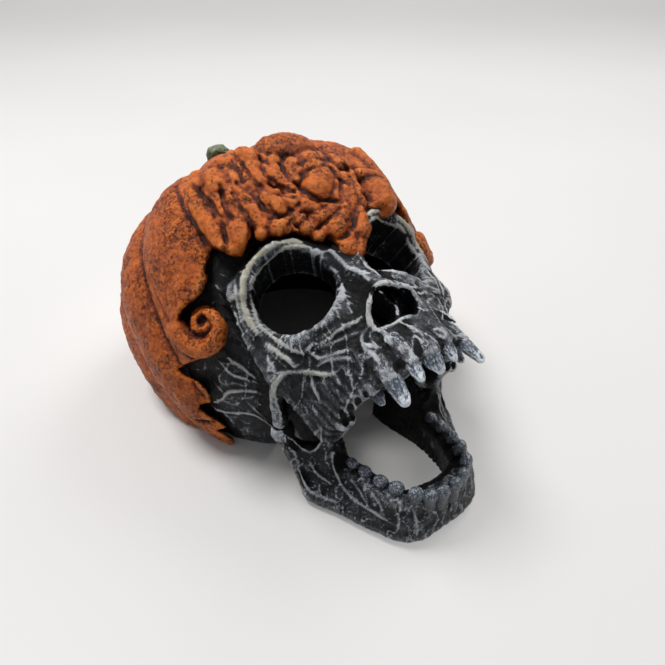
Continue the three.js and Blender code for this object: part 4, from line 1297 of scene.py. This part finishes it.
class Paint:
    """A material's nodes, made and joined by calls."""

    def __init__(self, name):
        self.material = bpy.data.materials.new(name)
        self.material.use_nodes = True
        self.tree = self.material.node_tree
        self.shader = self.tree.nodes["Principled BSDF"]
        self.place = self.node("ShaderNodeTexCoord").outputs["Object"]

    def node(self, kind, **settings):
        made = self.tree.nodes.new(kind)
        for key, value in settings.items():
            setattr(made, key, value)
        return made

    def link(self, value, socket):
        value = value.socket if isinstance(value, Value) else value
        if isinstance(value, bpy.types.NodeSocket):
            self.tree.links.new(value, socket)
        else:
            socket.default_value = value

    def marks(self, *names):
        nodes = [self.node("ShaderNodeAttribute", attribute_name=name) for name in names]
        return [Value(self, node.outputs["Fac"]) for node in nodes]

    def math(self, kind, a, b=0.0):
        made = self.node("ShaderNodeMath", operation=kind)
        self.link(a, made.inputs[0])
        self.link(b, made.inputs[1])
        return Value(self, made.outputs[0])

    def texture(self, place, scale, detail, harshness):
        made = self.node("ShaderNodeTexNoise")
        self.link(place, made.inputs["Vector"])
        for name, number in (("Scale", scale), ("Detail", detail), ("Roughness", harshness)):
            made.inputs[name].default_value = number
        return Value(self, made.outputs["Fac"])

    def noise(self, size, detail, harshness):
        """Noise with features of a size in millimetres."""
        return self.texture(self.place, 1 / (size * MM), detail, harshness)

    def lines(self, scale, width):
        """Thin lines that run with the flow kept at the piece's points."""
        flow = self.node("ShaderNodeAttribute", attribute_name="flow").outputs["Vector"]
        away = self.math("ABSOLUTE", self.texture(flow, scale, detail=3, harshness=0.6).swing())
        return away.spread(width, 0.0)

    def mix(self, share, a, b):
        """A colour between two. The node keeps its colours after its sockets for numbers."""
        made = self.node("ShaderNodeMix", data_type="RGBA")
        for value, place in ((share, 0), (a, 6), (b, 7)):
            self.link(value, made.inputs[place])
        return made.outputs[2]

    def layered(self, level, first, rows):
        """Colours over the first one, each with the two levels between which it comes in."""
        tone = colour(*first)
        for low, high, shade in rows:
            tone = self.mix(level.spread(low, high), tone, colour(*shade))
        return tone

    def finish(self, tone, roughness, height, depth, specular=0.5):
        """The material, with its bumps from a height and as deep as some millimetres."""
        self.link(tone, self.shader.inputs["Base Color"])
        self.link(roughness, self.shader.inputs["Roughness"])
        self.shader.inputs["Specular IOR Level"].default_value = specular
        bump = self.node("ShaderNodeBump")
        bump.inputs["Strength"].default_value = 1.0
        bump.inputs["Distance"].default_value = depth * MM
        self.link(height, bump.inputs["Height"])
        self.link(bump.outputs["Normal"], self.shader.inputs["Normal"])
        return self.material


def colour(red, green, blue):
    """A colour as it looks on a screen, from 0 to 255, in the shader's linear scale."""
    def linear(value):
        value = value / 255
        return value / 12.92 if value <= 0.04045 else ((value + 0.055) / 1.055) ** 2.4
    return (linear(red), linear(green), linear(blue), 1.0)


# A paint's colours over its first, each with the two levels of height between which it comes in. For the
# orange, the darkest are its dark wash and painted shade in the creases and on the lumps' sides, and the
# palest is a painted highlight on their tops
ORANGE_WASH_AND_SHADE = (46, 15, 3)
ORANGE_SHADE_AND_HIGHLIGHT_LAYERS = [
    (-1.9, -1.0, (90, 33, 7)), (-1.1, -0.3, (136, 58, 14)), (-0.4, 0.7, (184, 92, 20)),
    (0.6, 2.2, (200, 120, 56)),
]
TOOTH_FIRST = (14, 17, 23)
TOOTH_LAYERS = [(-0.4, 0.4, (70, 78, 90)), (0.35, 1.3, (206, 214, 222))]
STEM_FIRST = (18, 24, 14)
STEM_LAYERS = [(-0.8, 0.1, (54, 68, 42)), (0.1, 1.0, (108, 118, 80))]

ORANGE_PATCH, ORANGE_RUBBED = (124, 52, 16), (202, 118, 56)
PIT_COLOUR, INNER_WALL_DARK_AND_SHADE = (50, 20, 8), (14, 9, 8)
BONE_DARK, BONE_PALE = (18, 21, 26), (48, 53, 59)
BONE_GROOVE_WASH_AND_SHADE, BONE_HOLLOW_SHADE = (5, 6, 8), (4, 4, 5)
BONE_RUBBED, BONE_SILVER, BONE_CREAM = (112, 118, 124), (186, 191, 197), (210, 200, 162)

# Noise in the paints, as a size in millimetres, its detail and its harshness
ORANGE_GRAIN, ORANGE_DRIFT, ORANGE_PATCHES = (1.5, 7, 0.72), (5, 5, 0.65), (16, 4, 0.6)
ORANGE_RUB, ORANGE_BUMP, ORANGE_GLOSS = (0.9, 6, 0.75), (1.2, 7, 0.75), (3.0, 3, 0.5)
PIT_PATCHES, PIT_NOISE, TINY_PIT_NOISE = (11, 3, 0.6), (1.4, 3, 0.65), (0.95, 2, 0.5)
BONE_FINE, BONE_PATCHES = (0.5, 7, 0.75), (8, 4, 0.6)
TOOTH_GRAIN, STEM_GRAIN, FLOOR_GRAIN = (0.9, 6, 0.7), (1.6, 6, 0.7), (400, 2, 0.5)

# Levels of a mark or of noise between which something comes in, and the most that it does so
# The two openness levels are where painted shade comes into the hollows
ORANGE_SHADE_OPENNESS, BONE_SHADE_OPENNESS = (0.9, 0.45), (0.92, 0.52)
PATCH_LEVELS, PATCH_SHARE = (0.48, 0.7), 0.5
RUB_LEVELS, RUB_HEIGHTS, RUB_SHARE = (0.55, 0.68), (0.1, 1.2), 0.5
PIT_LEVELS, PIT_SOFTNESS, PIT_SHARE = (0.4, 0.62), (-0.03, 0.02), 0.85
PIT_EDGE, PIT_DRIFT, TINY_PIT_SHARE = 0.31, 0.11, 0.9
BONE_BASE_LEVELS, GROOVE_WASH_AND_SHADE_LEVELS = (0.35, 0.65), (-0.6, 0.5)
BONE_RUB_LEVELS, BONE_RUB_SHARE = (0.1, 0.9), 0.4
BRUSH_LEVELS, BRUSH_SHARE = (0.55, 1.6), 0.9
NOISE_LEVELS = (0.3, 0.7)
ORANGE_ROUGHNESS, BONE_ROUGHNESS, TOOTH_ROUGHNESS, STEM_ROUGHNESS = (0.24, 0.46), (0.28, 0.42), 0.26, 0.5

# Fine lines, as a scale of the flow and a width
BONE_LINES = [(1.1, 0.018), (2.4, 0.022), (4.8, 0.03)]
FINEST_SHARE = 0.7
LINE_LEVELS, LINE_RANGE = (0.35, 0.6), (0.25, 1.0)
TOOTH_LINES = (1.0, 0.08)


def orange_paint():
    """Orange over dark wash and painted shade: paler on the lumps' tops as a painted highlight, darker on
    their sides and in the grooves as painted shade, with rubbed patches and pits.
    """
    paint = Paint("orange_skin")
    fine, broad, inside, open_to_light = paint.marks("fine", "broad", "inside", "open")
    grain, drift = paint.noise(*ORANGE_GRAIN), paint.noise(*ORANGE_DRIFT)
    # The height from the relief sets painted shade on the lumps' sides and in the creases, and a painted
    # highlight on their tops
    height = broad * 0.9 + fine * 2.0 + grain.swing() * 2.4 + drift.swing() * 1.8
    # Painted shade: the height sinks where little stands open in front of the surface
    height = height - open_to_light.spread(*ORANGE_SHADE_OPENNESS) * 0.9
    tone = paint.layered(height, ORANGE_WASH_AND_SHADE, ORANGE_SHADE_AND_HIGHLIGHT_LAYERS)
    patches = paint.noise(*ORANGE_PATCHES).spread(*PATCH_LEVELS, 0, PATCH_SHARE)
    tone = paint.mix(patches, tone, colour(*ORANGE_PATCH))
    rubbed = paint.noise(*ORANGE_RUB).spread(*RUB_LEVELS) * height.spread(*RUB_HEIGHTS)
    tone = paint.mix(rubbed * RUB_SHARE, tone, colour(*ORANGE_RUBBED))
    edge = paint.noise(*PIT_PATCHES).spread(*PIT_LEVELS) * PIT_DRIFT + PIT_EDGE
    pits = (edge - paint.noise(*PIT_NOISE)).spread(*PIT_SOFTNESS)
    tiny = (edge - paint.noise(*TINY_PIT_NOISE)).spread(*PIT_SOFTNESS)
    pits = pits.at_least(tiny * TINY_PIT_SHARE)
    tone = paint.mix(pits * PIT_SHARE, tone, colour(*PIT_COLOUR))
    # The inner wall near black: its own dark colour and painted shade inside the hollow
    tone = paint.mix(inside, tone, colour(*INNER_WALL_DARK_AND_SHADE))
    bump = paint.noise(*ORANGE_BUMP) + pits * -1.0
    gloss = paint.noise(*ORANGE_GLOSS).spread(*NOISE_LEVELS, *ORANGE_ROUGHNESS)
    return paint.finish(tone, gloss, bump, depth=0.7, specular=0.24)


def bone_paint():
    """Black, with a dry brush of silver and cream on its strands, fine lines and raised places."""
    paint = Paint("black_bone")
    fine, broad, stroke, cream, open_to_light = paint.marks("fine", "broad", "stroke", "cream", "open")
    # Painted shade in the hollows, from how open each place is; it also keeps the silver out of them
    hollow = open_to_light.spread(*BONE_SHADE_OPENNESS)
    grain, patches = paint.noise(*BONE_FINE), paint.noise(*BONE_PATCHES)
    wide, thin, finest = (paint.lines(*line) for line in BONE_LINES)
    lines = wide.at_least(thin).at_least(finest * FINEST_SHARE)
    lines = lines * patches.spread(*LINE_LEVELS, *LINE_RANGE)
    raised = fine * 2.8 + broad * 0.7 + grain.swing() * 2.4 + patches.swing() * 1.2 - hollow * 2.4
    worn = raised + (stroke * 1.2 + lines) * (1.0 - hollow)
    base = paint.mix(patches.spread(*BONE_BASE_LEVELS), colour(*BONE_DARK), colour(*BONE_PALE))
    # Darker in the grooves: the paint's dark wash and painted shade
    base = paint.mix(raised.spread(*GROOVE_WASH_AND_SHADE_LEVELS), colour(*BONE_GROOVE_WASH_AND_SHADE), base)
    base = paint.mix(hollow, base, colour(*BONE_HOLLOW_SHADE))
    base = paint.mix(worn.spread(*BONE_RUB_LEVELS) * BONE_RUB_SHARE, base, colour(*BONE_RUBBED))
    light = paint.mix(cream, colour(*BONE_SILVER), colour(*BONE_CREAM))
    tone = paint.mix(worn.spread(*BRUSH_LEVELS) * BRUSH_SHARE, base, light)
    gloss = patches.spread(*NOISE_LEVELS, *BONE_ROUGHNESS)
    return paint.finish(tone, gloss, grain + lines * 0.9, depth=0.5, specular=0.25)


def tooth_paint(name, shade_dimming):
    """Silver over black, brighter towards the tip, and darker by an amount of painted shade given for the
    teeth inside the mouth.
    """
    paint = Paint(name)
    fine, broad, along = paint.marks("fine", "broad", "along")
    grain = paint.noise(*TOOTH_GRAIN)
    bright = along * 0.9 + broad * 1.4 + fine * 2.4 + grain.swing() * 2.2
    # Painted shade: the whole tone is lowered by the dimming
    bright = bright - paint.lines(*TOOTH_LINES) * 0.5 - shade_dimming
    tone = paint.layered(bright, TOOTH_FIRST, TOOTH_LAYERS)
    return paint.finish(tone, TOOTH_ROUGHNESS, grain, depth=0.25, specular=0.45)


def stem_paint():
    """Dull green, dark in the hollows."""
    paint = Paint("green_stem")
    grain = paint.noise(*STEM_GRAIN)
    height = paint.marks("broad")[0] + grain.swing() * 1.6
    tone = paint.layered(height, STEM_FIRST, STEM_LAYERS)
    return paint.finish(tone, STEM_ROUGHNESS, grain, depth=0.5)


# Making the pieces. Wear is a depth and a size in millimetres, and a number that is added to the seed

SKIN_WEAR = [(0.45, 6.0, 0), (0.26, 1.8, 1)]
BONE_WEAR, BONE_GRAIN = (0.4, 6.0, 2), (0.09, 1.2, 3)
STEM_WEAR = [(0.7, 3.2, 4), (0.3, 1.4, 5)]
THREAD_WIDTH, THREAD_RISE, THREAD_SINK = 0.1, 0.36, 0.05
THREAD_PAINT = 0.4
STRAND_SOFTNESS, CREAM_SOFTNESS = 0.8, 1.6
INNER_WALL_START, INNER_WALL_FADE = 0.75, 2.0
JAW_INSIDE_SHADE, JAW_INSIDE_GAIN = 0.6, 2


def worn(points, quads, *wear):
    for depth, size, seed in wear:
        points = weathered(points, quads, depth, size, NOISE_SEED + seed)
    return points


def inner_wall_dark_and_shade_share(points):
    """One on the skin's inner wall, which is painted near black as its own dark colour and as painted
    shade, nought on its outside.
    """
    depth = -form(*world_to_head(points).T, 0, PUMPKIN["under"])
    return np.clip((depth - SKIN * INNER_WALL_START) / INNER_WALL_FADE, 0, 1)


def skin_surface():
    points, quads = mesh_from(sculpt_skin(), head_to_world)
    return worn(points, quads, *SKIN_WEAR), quads


def bone_surface(clay, to_world, to_local, flow_of):
    """The bone's surface with raised threads, its flow, and how much each point is on a thread."""
    points, quads = mesh_from(clay, to_world)
    points = worn(points, quads, BONE_WEAR)
    flow = flow_of(to_local(points))
    drawn = threads(flow, THREAD_WIDTH, NOISE_SEED)
    points = points + normals_of(points, quads) * (THREAD_RISE * drawn - THREAD_SINK)[:, None]
    return worn(points, quads, BONE_GRAIN), quads, flow, drawn


def add_skin(surface, surroundings):
    points, quads = surface
    marks = surface_marks(points, quads)
    marks["inside"] = inner_wall_dark_and_shade_share(points)
    # The openness sets painted shade in the hollows
    marks["open"] = surroundings.openness(points, normals_of(points, quads))
    nodes = ["pumpkin_crown", "temple_curl_left", "temple_curl_right"]
    build("pumpkin_skin", points, quads, orange_paint(), nodes, marks)


def add_bone(name, surface, strands, surroundings, to_local, material, nodes):
    points, quads, flow, drawn = surface
    local = to_local(points)
    normals = normals_of(points, quads)
    marks = surface_marks(points, quads)
    lined = nearness(local, [limb for limb, _ in strands], STRAND_SOFTNESS)
    marks["stroke"] = np.maximum(lined, THREAD_PAINT * drawn)
    # The openness sets painted shade in the hollows, made deeper on the jaw's inner faces
    marks["open"] = surroundings.openness(points, normals)
    if name == "lower_jaw":
        inward = points * np.array([1, 1, 0]) - JAW_MIDDLE
        inward = inward / np.linalg.norm(inward, axis=1, keepdims=True)
        facing = np.einsum("ij,ij->i", normals, inward)
        marks["open"] *= 1 - JAW_INSIDE_SHADE * np.clip(-facing * JAW_INSIDE_GAIN, 0, 1)
    marks["cream"] = np.zeros(len(points))
    for limb, cream in strands:
        if cream > 0:
            marks["cream"] = np.maximum(marks["cream"], cream * nearness(local, [limb], CREAM_SOFTNESS))
    build(name, points, quads, material, nodes, marks, flow)


def add_stem():
    points, quads = mesh_from(sculpt_stem(), head_to_world)
    points = worn(points, quads, *STEM_WEAR)
    marks = surface_marks(points, quads)
    build("pumpkin_stem", points, quads, stem_paint(), ["stem"], marks)


skull_clay, skull_strands = sculpt_skull()
jaw_clay, jaw_strands = sculpt_jaw()
skin = skin_surface()
skull = bone_surface(skull_clay, head_to_world, world_to_head, eye_flow)
jaw = bone_surface(jaw_clay, stay, stay, jaw_flow)
surroundings = Surroundings([skin, skull[:2], jaw[:2]])
add_skin(skin, surroundings)
bone = bone_paint()
skull_nodes = [
    "skull_face", "skull_braincase", "zygomatic_arch_left", "zygomatic_arch_right", "nasal_septum",
]
add_bone("skull", skull, skull_strands, surroundings, world_to_head, bone, skull_nodes)
add_bone("lower_jaw", jaw, jaw_strands, surroundings, stay, bone, ["mandible"])
# The second tooth paint is a darker copy of the first, painted shade for the teeth inside the mouth
add_teeth(tooth_paint("pale_teeth", 0.0), tooth_paint("shaded_teeth", 0.7))
add_stem()


# Floor, light and camera, in metres but for the footprint

FLOOR_COLOUR, FLOOR_SPECKLE = colour(200, 199, 198), colour(194, 193, 192)
BACKDROP_COLOUR = colour(238, 237, 236)
BACKDROP_SHARE = 0.5
FOOTPRINT = (80, 75)
FOOTPRINT_BACK = 40
FOOTPRINT_FADE = (1.0, 2.2)
FLOOR_HALF = 3.0
FLOOR_BACK = 1.2
BACKDROP_RADIUS = 0.8
BACKDROP_HIGH = 3.0
BACKDROP_STEPS = 12
ROOM_COLOUR, ROOM_STRENGTH = (0.99, 0.99, 1.0, 1.0), 0.4
NEAREST_SEEN = 0.01
LAMP_AIM = Vector((0, 0, 0.05))
LAMPS = [
    ("window", (0.75, 0.15, 0.9), 0.6, 6.0, (1.0, 0.98, 0.95)),
    ("ceiling", (-0.25, 0.45, 1.1), 0.45, 16.0, (1.0, 0.99, 0.98)),
]


def floor_mesh():
    back = Matrix.Rotation(CAMERA_AZIMUTH, 4, "Z")
    profile = [(-FLOOR_HALF, 0.0), (FLOOR_BACK, 0.0)]
    for step in range(1, BACKDROP_STEPS + 1):
        turn = step / BACKDROP_STEPS * math.pi / 2
        away, high = math.sin(turn), 1 - math.cos(turn)
        profile.append((FLOOR_BACK + BACKDROP_RADIUS * away, BACKDROP_RADIUS * high))
    profile.append((FLOOR_BACK + BACKDROP_RADIUS, BACKDROP_HIGH))
    ends = (-FLOOR_HALF, FLOOR_HALF)
    corners = [back @ Vector((end, away, high)) for away, high in profile for end in ends]
    faces = [(2 * row, 2 * row + 1, 2 * row + 3, 2 * row + 2) for row in range(len(profile) - 1)]
    mesh = bpy.data.meshes.new("floor")
    mesh.from_pydata(corners, [], faces)
    mesh.polygons.foreach_set("use_smooth", np.ones(len(faces), bool))
    return mesh


def floor_paint():
    """Pale and matte, with a plain glow for the camera's eye beyond the object's shadow."""
    paint = Paint("floor")
    speckle = paint.noise(*FLOOR_GRAIN)
    tone = paint.mix(speckle.spread(*NOISE_LEVELS), FLOOR_COLOUR, FLOOR_SPECKLE)
    material = paint.finish(tone, 0.7, speckle, depth=0.01, specular=0.2)
    glow = paint.node("ShaderNodeEmission")
    glow.inputs["Color"].default_value = BACKDROP_COLOUR
    rays = paint.node("ShaderNodeLightPath")
    seen = paint.math("MAXIMUM", rays.outputs["Is Camera Ray"], rays.outputs["Is Glossy Ray"])
    parts = paint.node("ShaderNodeSeparateXYZ")
    paint.link(paint.place, parts.inputs[0])
    across = Value(paint, parts.outputs["X"]) / (FOOTPRINT[0] * MM)
    along = (Value(paint, parts.outputs["Y"]) - FOOTPRINT_BACK * MM) / (FOOTPRINT[1] * MM)
    reach = paint.math("SQRT", across * across + along * along)
    both = paint.node("ShaderNodeMixShader")
    paint.link(seen * reach.spread(*FOOTPRINT_FADE, 0.0, BACKDROP_SHARE), both.inputs[0])
    paint.link(paint.shader.outputs[0], both.inputs[1])
    paint.link(glow.outputs[0], both.inputs[2])
    paint.link(both.outputs[0], paint.tree.nodes["Material Output"].inputs["Surface"])
    return material


def add_floor():
    """A pale sweep: flat under the object and curving up behind it."""
    floor = place_in_scene("floor", floor_mesh())
    floor.data.materials.append(floor_paint())


def add_lamp(name, place, size, power, tint):
    lamp = bpy.data.lights.new(name, "AREA")
    lamp.shape = "DISK"
    lamp.size = size
    lamp.energy = power
    lamp.color = tint
    holder = place_in_scene(name, lamp)
    holder.location = place
    holder.rotation_euler = (LAMP_AIM - holder.location).to_track_quat("-Z", "Y").to_euler()


def add_camera():
    eye = bpy.data.cameras.new("camera")
    eye.sensor_width = SENSOR_WIDTH
    eye.lens = FOCAL_PIXELS / PHOTO_SIZE * SENSOR_WIDTH
    eye.clip_start = NEAREST_SEEN
    holder = place_in_scene("camera", eye)
    turned = Matrix(camera_axes()).transposed().to_4x4()
    holder.matrix_world = Matrix.Translation(Vector(CAMERA_PLACE * MM)) @ turned
    bpy.context.scene.camera = holder


def add_light():
    world = bpy.data.worlds.new("room")
    world.use_nodes = True
    background = world.node_tree.nodes["Background"]
    background.inputs["Color"].default_value = ROOM_COLOUR
    background.inputs["Strength"].default_value = ROOM_STRENGTH
    bpy.context.scene.world = world
    for lamp in LAMPS:
        add_lamp(*lamp)


add_floor()
add_light()
add_camera()
bpy.context.scene.view_settings.view_transform = "Standard"
